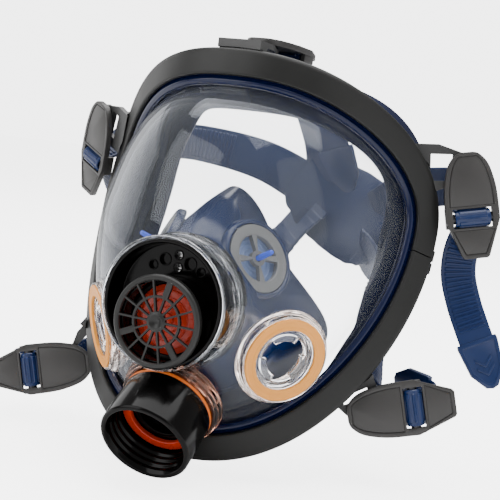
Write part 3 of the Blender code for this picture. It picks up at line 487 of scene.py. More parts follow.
def turned(name, profile, place, mat, round_by=0.0, steps=FINE):
    """Ring or solid turned about local Z from (radius, height) points in millimetres."""
    ring = profile[0][0] > 0
    points = rounded(profile, round_by, 3, ring) if round_by else [Vector(p) for p in profile]
    bm = bmesh.new()
    rows = []
    for radius, height in points:
        if radius < 1e-6:
            rows.append([bm.verts.new((0, 0, height * MM))])
            continue
        angles = [2 * math.pi * i / steps for i in range(steps)]
        rows.append([bm.verts.new((radius * MM * math.cos(a), radius * MM * math.sin(a),
                                   height * MM)) for a in angles])
    for here, there in zip(rows, rows[1:]):
        strip(bm, here, there)
    if ring:
        strip(bm, rows[-1], rows[0])
    bm.transform(place)
    bmesh.ops.recalc_face_normals(bm, faces=bm.faces)
    return new_piece(name, bm, mat)


def disc(name, radius, low, high, place, mat=None, steps=FINE, round_by=0.0):
    profile = [(0, high), (radius, high), (radius, low), (0, low)]
    return turned(name, profile, place, mat, round_by, steps)


def prism(name, outlines, low, high, place, mat=None):
    """Flat outlines in local XY, in millimetres, raised from low to high."""
    bm = bmesh.new()
    for outline in outlines:
        bottom = [bm.verts.new((x * MM, y * MM, low * MM)) for x, y in outline]
        top = [bm.verts.new((x * MM, y * MM, high * MM)) for x, y in outline]
        bm.faces.new(list(reversed(bottom)))
        bm.faces.new(top)
        for i in range(len(outline)):
            k = (i + 1) % len(outline)
            bm.faces.new((bottom[i], bottom[k], top[k], top[i]))
    bm.transform(place)
    bmesh.ops.recalc_face_normals(bm, faces=bm.faces)
    return new_piece(name, bm, mat)


def skin(bm, rings):
    """Faces through the rings, one after the other; gives back the rings' vertices."""
    rows = [[bm.verts.new(point) for point in ring] for ring in rings]
    for here, there in zip(rows, rows[1:]):
        strip(bm, here, there)
    return rows


def loft(name, rings, mat, loop=True):
    """Closed sections joined one after the other, round a loop or between two end caps."""
    bm = bmesh.new()
    rows = skin(bm, rings)
    if loop:
        strip(bm, rows[-1], rows[0])
    else:
        bm.faces.new(rows[0])
        bm.faces.new(list(reversed(rows[-1])))
    bmesh.ops.recalc_face_normals(bm, faces=bm.faces)
    return new_piece(name, bm, mat)


def shell(name, rings, wall, mat, pole=None):
    """Open surface through rings that go once round, given thickness on its inner side."""
    bm = bmesh.new()
    rows = skin(bm, rings)
    if pole is not None:
        strip(bm, rows[-1], [bm.verts.new(pole)])
    obj = new_piece(name, bm, mat)
    solidify = obj.modifiers.new("wall", "SOLIDIFY")
    solidify.thickness = wall
    solidify.offset = -1
    solidify.use_even_offset = True
    return flatten(obj)


def arc(centre_x, centre_y, radius, start, end, steps):
    """Points on a circle from one angle to another, in degrees."""
    angles = [math.radians(start + (end - start) * i / steps) for i in range(steps + 1)]
    return [(centre_x + radius * math.cos(a), centre_y + radius * math.sin(a)) for a in angles]


def sector(inner, outer, start, end, steps=10):
    """Outline of part of a flat ring, angles in degrees."""
    return arc(0, 0, outer, start, end, steps) + arc(0, 0, inner, end, start, steps)


def box_outline(low_x, high_x, low_y, high_y):
    return [(low_x, low_y), (high_x, low_y), (high_x, high_y), (low_x, high_y)]


def smooth(points, steps):
    """Points on a smooth curve (Catmull-Rom) through the given ones."""
    padded = [2 * points[0] - points[1]] + points + [2 * points[-1] - points[-2]]
    curve = []
    for i in range(len(points) - 1):
        p0, p1, p2, p3 = padded[i:i + 4]
        for j in range(steps):
            s = j / steps
            curve.append(0.5 * ((2 * p1) + (p2 - p0) * s + (2 * p0 - 5 * p1 + 4 * p2 - p3) * s * s
                                + (3 * p1 - p0 - 3 * p2 + p3) * s ** 3))
    curve.append(points[-1].copy())
    return curve


# ---- rim outline

def rim_point(t):
    """Outer edge of the rim; t runs from the top towards the wearer's left."""
    s = math.sin(t)
    c = math.cos(t)
    share = (1 + c) / 2
    power = RIM_SQUARENESS[0] * share + RIM_SQUARENESS[1] * (1 - share)
    x = RIM_HALF_WIDTH * math.copysign(abs(s) ** power, s)
    reach = RIM_TOP - RIM_WAIST if c > 0 else RIM_WAIST - RIM_BOTTOM
    y = RIM_DEPTH + RIM_LEAN * c + RIM_SWEEP * s * s + RIM_BIAS * s * s * c
    return Vector((x, y, RIM_WAIST + reach * c))


def rim_axes(t):
    """Directions at t: across the rim's face outwards, out of its face, and level outwards."""
    step = 0.02
    along = (rim_point(t + step) - rim_point(t - step)).normalized()
    outward = Vector((-along.z, 0, along.x)).normalized()
    forward = along.cross(outward).normalized()
    tilt = RIM_TILT[0] + (RIM_TILT[1] - RIM_TILT[0]) * math.sin(t) ** 2
    across = math.cos(tilt) * outward - math.sin(tilt) * forward
    normal = math.cos(tilt) * forward + math.sin(tilt) * outward
    return across, normal, outward


def rim_section(t, points):
    """Section points (across, out, back, in) in millimetres, placed on the rim at t."""
    across, normal, outward = rim_axes(t)
    base = rim_point(t)
    places = []
    for u, w, back, inward in points:
        offset = across * u + normal * w + Y_AXIS * back - outward * inward
        places.append(base + offset * MM)
    return places


def around(count=AROUND):
    return [2 * math.pi * (i + 0.5) / count for i in range(count)]


# ---- rim, seal and visor

CLAMP_SECTION = (
    (-14.5, -0.4, 0, 0), (-13.8, 0.2, 0, 0), (-2.6, 0.0, 0, 0), (-0.7, -0.7, 0, 0),
    (0.0, -2.6, 0, 0), (0.0, -10.6, 0, 0), (-0.8, -12.4, 0, 0), (-2.6, -13.0, 0, 0),
    (-11.0, -13.0, 0, 0), (-11.0, -11.0, 0, 0), (-2.4, -11.0, 0, 0), (-2.4, -2.4, 0, 0),
    (-14.5, -2.4, 0, 0),
)


def rim_halves():
    """Black clamp band in two halves that meet at the temples."""
    section = rounded(CLAMP_SECTION, 0.7, 2)
    lower_end = 2 * math.pi - RIM_SEAM
    spans = {"rim_frame_upper": (-RIM_SEAM, RIM_SEAM), "rim_frame_lower": (RIM_SEAM, lower_end)}
    for node, (start, end) in spans.items():
        start += RIM_SEAM_GAP
        end -= RIM_SEAM_GAP
        angles = [start + (end - start) * i / AROUND for i in range(AROUND + 1)]
        band = loft(node + "_band", [rim_section(t, section) for t in angles], RIM_BLACK, False)
        placed(joined(band, *rim_lugs(node)), "rim_black", node)


def lug_place(side):
    """Placement at the seam: local X across outwards, local Y out of the face, Z along it."""
    t = RIM_SEAM * side
    across, normal, _ = rim_axes(t)
    along = across.cross(normal).normalized()
    turn = Matrix((across, normal, along)).transposed().to_4x4()
    return Matrix.Translation(rim_point(t)) @ turn


LUG_OUTLINE = ((-1.5, -12.6), (5.4, -12.6), (5.4, -7.6), (-1.5, -6.6))
LUG_HOLE = Vector((2.9, -10.1, 0)) * MM


def rim_lugs(node):
    """The two screw lugs of one half, with rounded edges."""
    lugs = []
    for side, word in SIDES:
        way = -side if node == "rim_frame_upper" else side
        low, high = sorted((0.4 * way, 6.4 * way))
        place = lug_place(side)
        lug = prism(f"lug_{word}", [LUG_OUTLINE], low, high, place, RIM_BLACK)
        hole = disc("hole", 1.6, -12, 12, place @ Matrix.Translation(LUG_HOLE), steps=32)
        lugs.append(soften(cut(lug, hole), 0.5))
    return lugs


# How far the seal's lip reaches in (mm) at each angle from the top (degrees)
LIP_REACH = ((0, 24), (30, 21.5), (60, 19.5), (90, 22.5), (105, 20), (120, 14), (135, 11),
             (150, 18), (165, 29), (180, 32))


def seal_lip(t):
    """How far the lip reaches in at t, in millimetres."""
    at = abs(math.degrees(math.atan2(math.sin(t), math.cos(t))))
    for (start, low), (end, high) in zip(LIP_REACH, LIP_REACH[1:]):
        if at <= end:
            return low + (high - low) * eased((at - start) / (end - start))
    return LIP_REACH[-1][1]


def seal_skirt(t):
    """How far the skirt reaches back behind the rim, and how far it flares out, in mm."""
    top = max(0.0, math.cos(t))
    corner = math.sin(2 * t) ** 2
    if top:
        return 18 + 3 * top + 8 * corner, 10 * corner
    return 18, 9 * math.sqrt(abs(math.sin(2 * t)))


def seal_section(t):
    """Rubber edge in the clamp, its visor slot, the skirt behind it and the inner lip."""
    skirt, flare = seal_skirt(t)
    lip_in = seal_lip(t)
    lip_back = skirt - 11
    return (
        (-18.9, -5.2, 0, 0), (-19.1, -2.8, 0, 0), (-16.9, -1.3, 0, 0),
        (-15.0, -2.9, 0, 0), (-2.9, -2.9, 0, 0), (-2.9, -10.5, 0, 0), (-11.5, -10.5, 0, 0),
        (-11.5, -13.5, 0, 0), (-4.0, -13.5, 0, 0), (-3.4, -13.4, skirt * 0.45, 0.5),
        (-4.0, -13.4, skirt, 3 - flare), (-4, -13.4, skirt + 3, 9 - flare),
        (-4, -13.4, lip_back, lip_in), (-4, -13.4, lip_back - 1.5, lip_in - 1),
        (-4, -13.4, skirt - 1, 9 - flare), (-4.0, -13.4, skirt - 3, 5.5 - flare),
        (-6.6, -13.8, skirt * 0.42, 0.4), (-13.4, -13.2, 0, 0),
        (-17.6, -8.8, 0, 0), (-5.5, -8.8, 0, 0), (-5.5, -5.2, 0, 0),
    )


def face_seal():
    rings = [rim_section(t, rounded(seal_section(t), 2.2, 3)) for t in around()]
    placed(loft("face_seal_rubber", rings, SEAL_BLUE), "blue_rubber", "face_seal")


def dome_ring(angle):
    """Points round the dome at one angle from its pole, out to the flange's inner edge."""
    angle = math.radians(angle)
    rim = math.radians(DOME_ANGLE)
    spread = math.sin(angle) / math.sin(rim)
    rise = (1 - math.cos(angle)) / (1 - math.cos(rim))
    points = []
    for t in around():
        edge = rim_section(t, ((-21.0, -5.7, 0, 0),))[0]
        x = edge.x * spread
        y = DOME_POLE.y + (edge.y - DOME_POLE.y) * rise
        z = DOME_POLE.z + (edge.z - DOME_POLE.z) * spread
        points.append(Vector((x, y, z)))
    return points


def port_place():
    """Local +Z out of the port's mouth, local +Y upwards."""
    return facing(PORT_MOUTH, Vector((0, -math.cos(PORT_PITCH), -math.sin(PORT_PITCH))))


def inlet_place(side):
    return side_place(side, INLET_CENTRE, INLET_AXIS)


def inhale_place(side):
    return side_place(side, INHALE_CENTRE, INHALE_AXIS)


def front_place(height):
    """Local +Z forwards, local +Y up, on the line along Y at this height in millimetres."""
    return facing(Vector((0, 0, height * MM)), -Y_AXIS)


def visor():
    """Clear dome with its openings, and the thick collar and bosses moulded onto it."""
    flange = [rim_section(t, ((-6.0, -5.7, 0, 0),))[0] for t in around()]
    angles = [DOME_ANGLE * (1 - i / DOME_RINGS) for i in range(DOME_RINGS)]
    dome = shell("visor_dome", [flange] + [dome_ring(a) for a in angles], VISOR_WALL, CLEAR,
                 DOME_POLE)
    inner = HOUSING_RADIUS + 0.3
    tools = [disc(f"bore_{word}", 15.6, -30, 5, inlet_place(side)) for side, word in SIDES]
    tools.append(disc("chin_bore", 13.8, -60, 0, port_place()))
    tools.append(disc("collar_bore", inner, 50, 100, front_place(HOUSING_Z)))
    placed(cut(dome, *tools), "clear_visor", "visor")
    collar = [(inner, 88.4), (inner + 1.7, 88.4), (inner + 1.7, 70.5), (inner + 2.8, 69.4),
              (inner, 69.2)]
    placed(turned("visor_collar", collar, front_place(HOUSING_Z), CLEAR_THICK, 0.7), "clear_visor")
    for side, word in SIDES:
        profile = [(21.6, -2.0), (21.6, -0.6), (22.4, -0.6), (22.6, -3.4), (24.3, -4.2),
                   (24.3, -5.8), (22.6, -6.6), (21.8, -9.6), (18.5, -12.5), (15.6, -12.5),
                   (15.6, -2.0)]
        # warm colour: painted reflection of the orange inlet washer
        boss = turned(f"inlet_boss_{word}", profile, inlet_place(side), CLEAR_PAINTED_ORANGE_REFLECTION, 0.5)
        placed(boss, "clear_visor")
    depth = PORT_LENGTH + 2.4
    profile = [(24.5, -depth)]
    for radius, drop in ((24.5, 1.2), (23.4, 1.9), (25.2, 2.6), (25.2, 3.8), (23.8, 4.6),
                         (25.8, 5.4), (25.8, 7.0), (17.0, 8.4), (13.8, 8.4), (13.8, 0)):
        profile.append((radius, -depth - drop))
    # amber colour: painted reflection of the orange port washer
    boss = turned("chin_boss", profile, port_place(), CLEAR_PAINTED_DEEP_ORANGE_REFLECTION, 0.5)
    placed(boss, "clear_visor")


# ---- nose cup and its valves

def pierced(obj, place, level, count, radii, rib, stem):
    """Valve seat with windows between its ribs (degrees either side) and a hole for the stem."""
    pitch = 360 / count
    windows = [sector(*radii, pitch * i + rib, pitch * (i + 1) - rib) for i in range(count)]
    return cut(obj, prism("windows", windows, level - 5, level + 5, place),
               disc("stem_hole", stem, level - 5, level + 5, place, steps=32))


CUP_RINGS = (
    # depth, half width, top, bottom, nose narrowing, sweep back at the cheeks
    (-62.0, 31.2, 6.6, -55.8, 0.0, 0),
    (-58.0, 32.4, 7.8, -57.5, 0.0, 0),
    (-48.0, 36.5, 15.5, -67.0, 0.16, 0),
    (-39.0, 40.5, 21.5, -74.5, 0.34, 1),
    (-32.0, 44.5, 26.0, -71.5, 0.46, 3),
    (-24.0, 50.0, 29.5, -71.5, 0.56, 9),
    (-17.0, 56.0, 32.0, -75.5, 0.63, 24),
)
CUP_STATIONS = 120
CUP_COLLAR = 29.0                   # radius of the opening that the front housing clamps
BEAD_RADIUS = 0.9


def cup_ring(depth, half_width, top, bottom, narrowing, sweep):
    points = []
    for t in around(CUP_STATIONS):
        share = min(1.0, max(0.0, math.cos(t) + 0.42))
        width = half_width * (1 - narrowing * eased(share))
        reach = top - HOUSING_Z if math.cos(t) > 0 else HOUSING_Z - bottom
        back = sweep * math.sin(t) ** 2
        points.append(Vector((width * math.sin(t), depth + back,
                              HOUSING_Z + reach * math.cos(t))) * MM)
    return points


def cup_rows():
    """The cup's ring sizes, with smooth steps put in between."""
    rows = []
    for k in range(len(CUP_RINGS[0])):
        column = [Vector((row[k], 0)) for row in reversed(CUP_RINGS)]
        rows.append([point.x for point in smooth(column, 5)])
    return list(zip(*rows))


def nose_cup():
    rings = [cup_ring(*row) for row in cup_rows()]
    collar = [Vector((CUP_COLLAR * math.sin(t), -62.0, HOUSING_Z + CUP_COLLAR * math.cos(t))) * MM
              for t in around(CUP_STATIONS)]
    cup = shell("nose_cup_rubber", rings + [collar], 2 * MM, CUP_BLUE)
    tools = [disc(f"hole_{word}", INHALE_RADIUS + 0.3, -12, 9, inhale_place(side))
             for side, word in SIDES]
    cup = cut(cup, *tools)
    edge = turned("cup_edge_bead", bead_profile(), front_place(HOUSING_Z), CUP_BLUE)
    placed(joined(cup, edge), "blue_rubber", "nose_cup")
    for side, word in SIDES:
        lip = [(17.8, -1.9), (17.8, 1.2), (18.8, 1.9), (20.4, 1.2), (21.6, -2.2), (20.0, -3.2)]
        ring = turned(f"valve_socket_{word}", lip, inhale_place(side), CUP_BLUE, 0.8)
        placed(ring, "blue_rubber")


def bead_profile():
    """Round bead where the cup is clamped behind the front housing."""
    return arc(CUP_COLLAR + 0.3, 61.9, BEAD_RADIUS, 0, 330, 11)


def inhalation_valve(side, word):
    """Grey seat with a cross, and the bluish disc and stem behind and through it."""
    place = inhale_place(side)
    profile = [(0, 1.1), (12.0, 1.1), (12.6, 1.5), (INHALE_RADIUS, 1.5), (INHALE_RADIUS, -1.5),
               (0, -1.5)]
    seat = turned(f"valve_seat_{word}", profile, place, SEAT_GREY, 0.3)
    seat = soften(pierced(seat, place, 0, 4, (4, 12.0), 8, 1.9), 0.25)
    placed(seat, "seat_grey", f"inhalation_seat_{word}")
    body = f"inhalation_valve_{word}"
    flap = [(0, -3.4), (2.2, -3.4)]
    for i in range(5):
        radius = 3.6 + 2.2 * i
        flap += [(radius, -3.55), (radius + 0.4, -3.2), (radius + 0.8, -3.55)]
    flap += [(14.2, -3.8), (14.2, -4.5), (0, -4.6)]
    placed(turned(f"valve_disc_{word}", flap, place, VALVE_BLUE, 0.12), "valve_blue", body,
           body=body)
    stem = [(0, 12.0), (0.8, 11.8), (1.2, 11.2), (1.6, 3.4), (1.4, 2.2), (1.4, -3.4), (0, -3.4)]
    placed(turned(f"valve_stem_{word}", stem, place, STEM_BLUE, 0.2, 48), "valve_blue", body=body)


# ---- front housing

# Across, height and radius of each hole
SPEECH_HOLES = ((-6.6, -4.4, 2.7), (0.2, -1.6, 2.0), (6.6, -5.0, 2.9), (0.3, -7.6, 2.0),
                (-12.6, -7.8, 2.0), (12.4, -8.2, 2.0))


def front_housing():
    place = front_place(HOUSING_Z)
    profile = [(0, HOUSING_FLOOR), (27.6, HOUSING_FLOOR), (27.6, 84.0), (28.2, 88.2),
               (28.8, 89.0), (HOUSING_RADIUS, 89.0), (HOUSING_RADIUS, 68.0), (28.4, 68.0),
               (28.4, 59.0), (26.6, 59.0), (26.6, HOUSING_BACK),
               (0, HOUSING_BACK)]
    housing = turned("housing_cup", profile, place, GLOSS_BLACK, 0.4)
    tools = [disc("exhale_bore", 17.0, 60, 80, front_place(EXHALE_Z)),
             disc("exhale_notch", 21.2, HOUSING_FLOOR, 100, front_place(EXHALE_Z))]
    rims = []
    for i, (x, z, radius) in enumerate(SPEECH_HOLES):
        hole = facing(Vector((x, 0, z)) * MM, -Y_AXIS)
        through = math.hypot(x, z - SPEECH_Z) + radius < FILM_RADIUS
        low = 60 if through else HOUSING_FLOOR - 1.8
        tools.append(disc(f"speech_hole_{i}", radius, low, 80, hole, steps=40))
        lip = [(radius, HOUSING_FLOOR - 1.0), (radius, HOUSING_FLOOR + 0.5),
               (radius + 0.5, HOUSING_FLOOR + 0.5), (radius + 0.6, HOUSING_FLOOR - 1.0)]
        rims.append(turned(f"speech_rim_{i}", lip, hole, GLOSS_BLACK, 0.15, 40))
    cut(housing, *tools)
    placed(joined(housing, *rims), "gloss_black", "front_housing")


def clamp_ring():
    """Ring nut behind the visor, with grip notches round its edge."""
    place = front_place(HOUSING_Z)
    profile = [(28.7, 66.4), (32.4, 66.4), (32.4, 62.8), (28.7, 62.8)]
    nut = turned("clamp_ring_nut", profile, place, GLOSS_BLACK, 0.4)
    notches = []
    for i in range(6):
        turn = Matrix.Rotation(math.radians(60 * i), 2)
        corners = ((31.2, -2), (35, -2), (35, 2), (31.2, 2))
        notches.append([tuple(turn @ Vector(corner)) for corner in corners])
    cut(nut, prism("notches", notches, 60, 70, place))
    placed(nut, "gloss_black", "housing_clamp_ring")


def speech_parts():
    """Metallised film behind the speech holes, with its retaining ring."""
    place = front_place(SPEECH_Z)
    front = HOUSING_BACK - 0.3
    film = [(0, front)]
    for i in range(3):
        radius = 1.6 + 1.8 * i
        film += [(radius, front - 0.05), (radius + 0.5, front - 0.25),
                 (radius + 1.0, front - 0.05)]
    film += [(FILM_RADIUS, front), (FILM_RADIUS, front - 0.4), (0, front - 0.45)]
    placed(turned("diaphragm_film", film, place, FILM, 0.2, 72), "silver_film",
           "speech_diaphragm")
    ring = box_outline(5.6, FILM_RADIUS, front - 2.7, front - 0.7)
    placed(turned("diaphragm_ring", ring, place, GLOSS_BLACK, 0.3, 72), "gloss_black",
           "diaphragm_retainer")


def exhalation_parts():
    place = front_place(EXHALE_Z)
    floor = HOUSING_FLOOR + 0.3
    top = 89.4
    profile = [(0, floor + 1.6), (16.6, floor + 1.6), (17.0, floor + 2.0), (18.8, floor + 3),
               (18.8, top), (20.8, top), (20.8, floor), (0, floor)]
    seat = turned("exhalation_tower", profile, place, GLOSS_BLACK, 0.3)
    pierced(seat, place, floor, 6, (4, 15), 6, 1.9)
    placed(seat, "gloss_black", "exhalation_seat")
    face = floor + 1.9
    flap = [(0, face + 2.6), (2.6, face + 2.5), (3.2, face + 1.5)]
    for radius in (5.6, 9.6, 13.4):
        flap += [(radius, face + 1.4), (radius + 0.5, face + 1.8), (radius + 1.0, face + 1.35)]
    flap += [(16.8, face + 0.9), (16.8, face), (1.5, face), (1.5, face - 6), (0, face - 6)]
    valve = turned("exhalation_flap", flap, place, RED, 0.25)
    placed(valve, "red_silicone", "exhalation_valve", body="exhalation_valve")
    exhalation_grille(place, top + 0.3)


SPOKES = 14
WIDE_SPOKES = (0, 5, 9)
SPOKE_HALF = 0.45
WIDE_SPOKE_HALF = 1.5


def exhalation_grille(place, low):
    """Spoked cover: rim, middle ring, dished hub and spokes, three of them wide outside."""
    high = 93.4
    profile = [(0, high - 1.5), (1.4, high - 1.3), (2.8, high - 0.4), (3.4, high + 0.1),
               (4.2, high - 0.3), (4.6, high - 0.6), (19.6, high - 0.6), (20.0, high),
               (21.4, high), (22.3, high - 1.0), (22.3, low), (20, low), (20, high - 2.4),
               (0, high - 2.4)]
    grille = turned("grille_cover", profile, place, GRILLE_BLACK, 0.2)
    pitch = 360 / SPOKES
    windows = []
    for i in range(SPOKES):
        start = 75 + pitch * i
        windows.append(window_outline(4.8, 11.3, start, start + pitch, SPOKE_HALF, SPOKE_HALF))
        halves = [WIDE_SPOKE_HALF if k % SPOKES in WIDE_SPOKES else SPOKE_HALF for k in (i, i + 1)]
        windows.append(window_outline(12.4, 19.5, start, start + pitch, *halves))
    tool = prism("windows", windows, high - 6, high + 2, place)
    placed(soften(cut(grille, tool), 0.18), "grille_black", "exhalation_grille")


def window_outline(inner, outer, start, end, before, after):
    """Ring sector whose straight sides keep an even distance from the spokes' middle lines."""
    arcs = []
    for radius in (outer, inner):
        low = start + math.degrees(before / radius)
        high = end - math.degrees(after / radius)
        arcs.append(arc(0, 0, radius, low, high, 5))
    return arcs[0] + arcs[1][::-1]


# ---- canister port and inlets

def canister_port():
    place = port_place()
    crest, root = 19.2, 20.3
    inside = [(root, -0.4)]
    depth = 1.2
    for _ in range(THREAD_TURNS):
        for radius, share in ((crest, 0.32), (crest, 0.5), (root, 0.82), (root, 0.98)):
            inside.append((radius, -depth - THREAD_PITCH * share))
        depth += THREAD_PITCH
    step = -19.0
    neck_end = -PORT_LENGTH - 11
    inside += [(root, step), (11.6, step), (11.6, neck_end)]
    outside = [(20.8, 0), (22.2, 0), (23.0, -1.0), (23.0, -PORT_LENGTH), (13.5, -PORT_LENGTH),
               (13.5, neck_end)]
    profile = outside + list(reversed(inside))
    placed(turned("port_socket", profile, place, GLOSS_BLACK, 0.35), "gloss_black",
           "canister_port")
    outer = [(13.8, -PORT_LENGTH - 0.3), (22.9, -PORT_LENGTH - 0.3), (22.9, -PORT_LENGTH - 2.1),
             (13.8, -PORT_LENGTH - 2.1)]
    placed(turned("port_washer", outer, place, PORT_ORANGE, 0.5), "orange_rubber",
           "port_outer_gasket")
    inner = [(14.5, step + 3), (19.0, step + 3), (19.0, step + 0.3), (14.5, step + 0.3)]
    placed(turned("port_seal_ring", inner, place, RED, 0.8), "red_silicone",
           "port_inner_gasket")
    port_inlet_valve(place, neck_end)


def port_inlet_valve(place, neck_end):
    """Spider seat pressed behind the neck and its soft disc, which lifts into the mask."""
    high = neck_end - 0.3
    seat = disc("port_seat", 13.3, high - 2, high, place, SEAT_GREY, round_by=0.3)
    pierced(seat, place, high, 4, (3.4, 10.2), 10, 1.7)
    placed(soften(seat, 0.2), "seat_grey", "port_valve_seat")
    face = high - 2.3
    profile = [(0, high + 4), (0.9, high + 3.9), (1.3, high + 3.2), (1.3, face), (11.2, face),
               (11.2, face - 0.8), (0, face - 0.8)]
    placed(turned("port_flap", profile, place, VALVE_BLUE, 0.2), "valve_blue", "port_valve",
           body="port_valve")


def bayonet_inlet(side, word):
    """Orange gasket in its seat, and the clear three-slot insert inside it."""
    place = inlet_place(side)
    profile = [(15.7, 0.0), (17.3, 0.0), (17.7, -0.25), (20.0, -0.25), (20.4, 0.0), (21.2, 0.0),
               (21.2, -1.7), (15.7, -1.7)]
    placed(turned(f"inlet_washer_{word}", profile, place, ORANGE, 0.4), "orange_rubber",
           f"inlet_gasket_{word}")
    profile = [(9.0, -2.6), (9.8, -2.2), (12.4, -2.2), (12.8, -3.0), (14.2, -3.0), (14.4, -2.2),
               (15.3, -2.2), (15.3, -5.0), (9.0, -5.0)]
    insert = turned(f"bayonet_insert_{word}", profile, place, CLEAR_THICK, 0.3)
    slots = [sector(8, 11.8, 120 * i + 10, 120 * i + 62) for i in range(3)]
    cut(insert, prism("slots", slots, -8, 0, place))
    placed(soften(insert, 0.3), "clear_visor", f"inlet_insert_{word}")


# ---- buckles

def buckle_place(name):
    """Local Z out of the buckle's face, local Y along its length, origin on its swivel."""
    pivot, length, normal = BUCKLES[name]
    return facing(Vector(pivot) * MM, normal, length)


def leaf_outline(inset=0.0):
    """Round end, swelling sides and straight tapered tail of the buckle, as an outline."""
    swell = [Vector(p) for p in ((0.0, 3.0), (1.1, 6.0), (5.5, 9.8), (12.0, 12.1), (21.0, 13.6),
                                 (35.0, 14.0))]
    half = smooth(swell, 4) + [Vector((54.0, 7.0)), Vector((55.0, 5.8))]
    outline = []
    for along, width in half:
        y = min(max(along, inset * 0.9), BUCKLE_LENGTH - inset * 0.9) - PIVOT_INSET
        outline.append((width - inset * (1.0 if along < 36 else 0.75), y))
    return outline + [(-x, y) for x, y in reversed(outline)]


def face_outlines(border):
    """The sunk faces on both sides of the strap slot, inside a border."""
    outline = [(x, y) for x, y in leaf_outline(border) if x > 0]
    shift = border - FACE_BORDER
    split_low = BAR_AT - SLOT_HALF + shift
    split_high = BAR_AT + SLOT_HALF - shift
    lower = [(x, y) for x, y in outline if y < split_low - 1]
    upper = [(x, y) for x, y in outline if y > split_high + 1]
    side = 13.7 - border
    slope = 1.2 * (border - 1.2)
    lower.append((side, split_low - slope))
    upper.insert(0, (side - 0.4, split_high + slope))
    return [half + [(-x, y) for x, y in reversed(half)] for half in (lower, upper)]


def buckle(name):
    place = buckle_place(name)
    body = prism(f"plate_{name}", [leaf_outline()], 0.8, 4.0, place, BUCKLE_GREY)
    opening = box_outline(-10.3, 10.3, BAR_AT - SLOT_HALF, BAR_AT + SLOT_HALF)
    slot = prism("slot", [opening], -6, 8, place)
    groove = prism("groove", face_outlines(FACE_BORDER), 3.2, 6, place)
    socket = disc("socket", 2.7, -1, 2.6, place, steps=32)
    body = soften(cut(body, slot, groove, socket), 0.45)
    inside = face_outlines(FACE_BORDER + 0.55)
    face = soften(prism("face", inside, 1.5, 3.75, place, BUCKLE_GREY), 0.25)
    rails = []
    for side in (1, -1):
        low_x, high_x = sorted((side * 11.0, side * 13.4))
        foot = box_outline(low_x, high_x, BAR_AT - 6, BAR_AT + SLOT_HALF)
        rails.append(soften(prism("rail", [foot], -3.2, 2, place, BUCKLE_GREY), 0.5))
    body = joined(body, face, *rails)
    placed(body, "buckle_grey", f"buckle_{name}", body=f"buckle_{name}")


# ---- straps and harness

# Free ends of the straps, from behind the bar to the tab, in each buckle's own axes (mm)
STRAP_TAILS = {
    "top": ((0, 31, -9), (3, 44, -16), (12, 58, -30), (18, 66, -46)),
    "upper_left": ((1, 33, -6), (6, 44, -8), (8, 56, -9), (6.5, 70, -9), (4, 82, -8),
                   (1.6, 92, -7)),
    "upper_right": ((0, 34, -7), (0, 46, -13), (0, 58, -20)),
    "lower_left": ((1, 33, -7), (0, 38.5, -11.5), (-3, 35, -18)),
    "lower_right": ((0, 33, -7), (0, 38.5, -11.5), (1, 36, -19)),
}
STRAP_LEAD = ((0, 21.6, -4.0), (0, 19.0, -9.5), (0, 12, -13))

# Section of a strap: share of half width, share of half thickness, share of a rib's height
STRAP_SECTION = (
    (-1.0, -0.4, 0), (-0.95, -1, 0), (-0.4, -1, 0), (0.4, -1, 0), (0.95, -1, 0), (1.0, -0.4, 0),
    (1.0, 0.4, 0), (0.95, 1, 0), (0.80, 1, 0), (0.75, 1, 1), (0.3, 1, 1), (-0.3, 1, 1),
    (-0.75, 1, 1), (-0.80, 1, 0), (-0.95, 1, 0), (-1.0, 0.4, 0),
)


def resampled(path, spacing):
    """Points along the path at even distances, near the spacing asked for."""
    lengths = [0.0]
    for first, second in zip(path, path[1:]):
        lengths.append(lengths[-1] + (second - first).length)
    count = max(2, round(lengths[-1] / spacing))
    points = []
    k = 0
    for i in range(count + 1):
        at = lengths[-1] * i / count
        while k < len(path) - 2 and lengths[k + 1] < at:
            k += 1
        share = (at - lengths[k]) / max(1e-9, lengths[k + 1] - lengths[k])
        points.append(path[k].lerp(path[k + 1], share))
    return points


def strap_rings(path, sides, halves, wall, rib_height):
    """Sections of a strap; rib_height(distance) lifts the middle of its outer face."""
    rings = []
    distance = 0.0
    for i, point in enumerate(path):
        ahead = path[min(i + 1, len(path) - 1)] - path[max(i - 1, 0)]
        side = (sides[i] - sides[i].project(ahead)).normalized()
        face = side.cross(ahead).normalized()
        if i:
            distance += (point - path[i - 1]).length
        lift = rib_height(distance)
        ring = []
        for across, out, rib in STRAP_SECTION:
            ring.append(point + side * across * halves[i] + face * (out * wall / 2 + rib * lift))
        rings.append(ring)
    return rings


def ribs(start, end):
    """Cross ribs between two distances along the strap, as a height at each distance."""
    def lift(distance):
        if not start < distance < end:
            return 0.0
        phase = (distance - start) / RIB_PITCH % 1.0
        return RIB_HEIGHT if 0.25 < phase < 0.75 else 0.0
    return lift


def strap_path(name):
    """The strap from behind the buckle, over the bar and down to its free end, in metres."""
    place = buckle_place(name)
    radius = BAR_RADIUS + 0.3 + STRAP_WALL / 2
    angles = [math.radians(12 * i) for i in range(16)]
    over = [Vector((0, BAR_AT - radius * math.cos(a), BAR_HEIGHT + radius * math.sin(a)))
            for a in angles]
    lead = [Vector(point) for point in reversed(STRAP_LEAD)]
    tail = [Vector(point) for point in STRAP_TAILS[name]]
    local = smooth(lead, 4) + over + smooth([over[-1] + Vector((0, 0.4, -2))] + tail, 8)
    return [place @ (point * MM) for point in local]


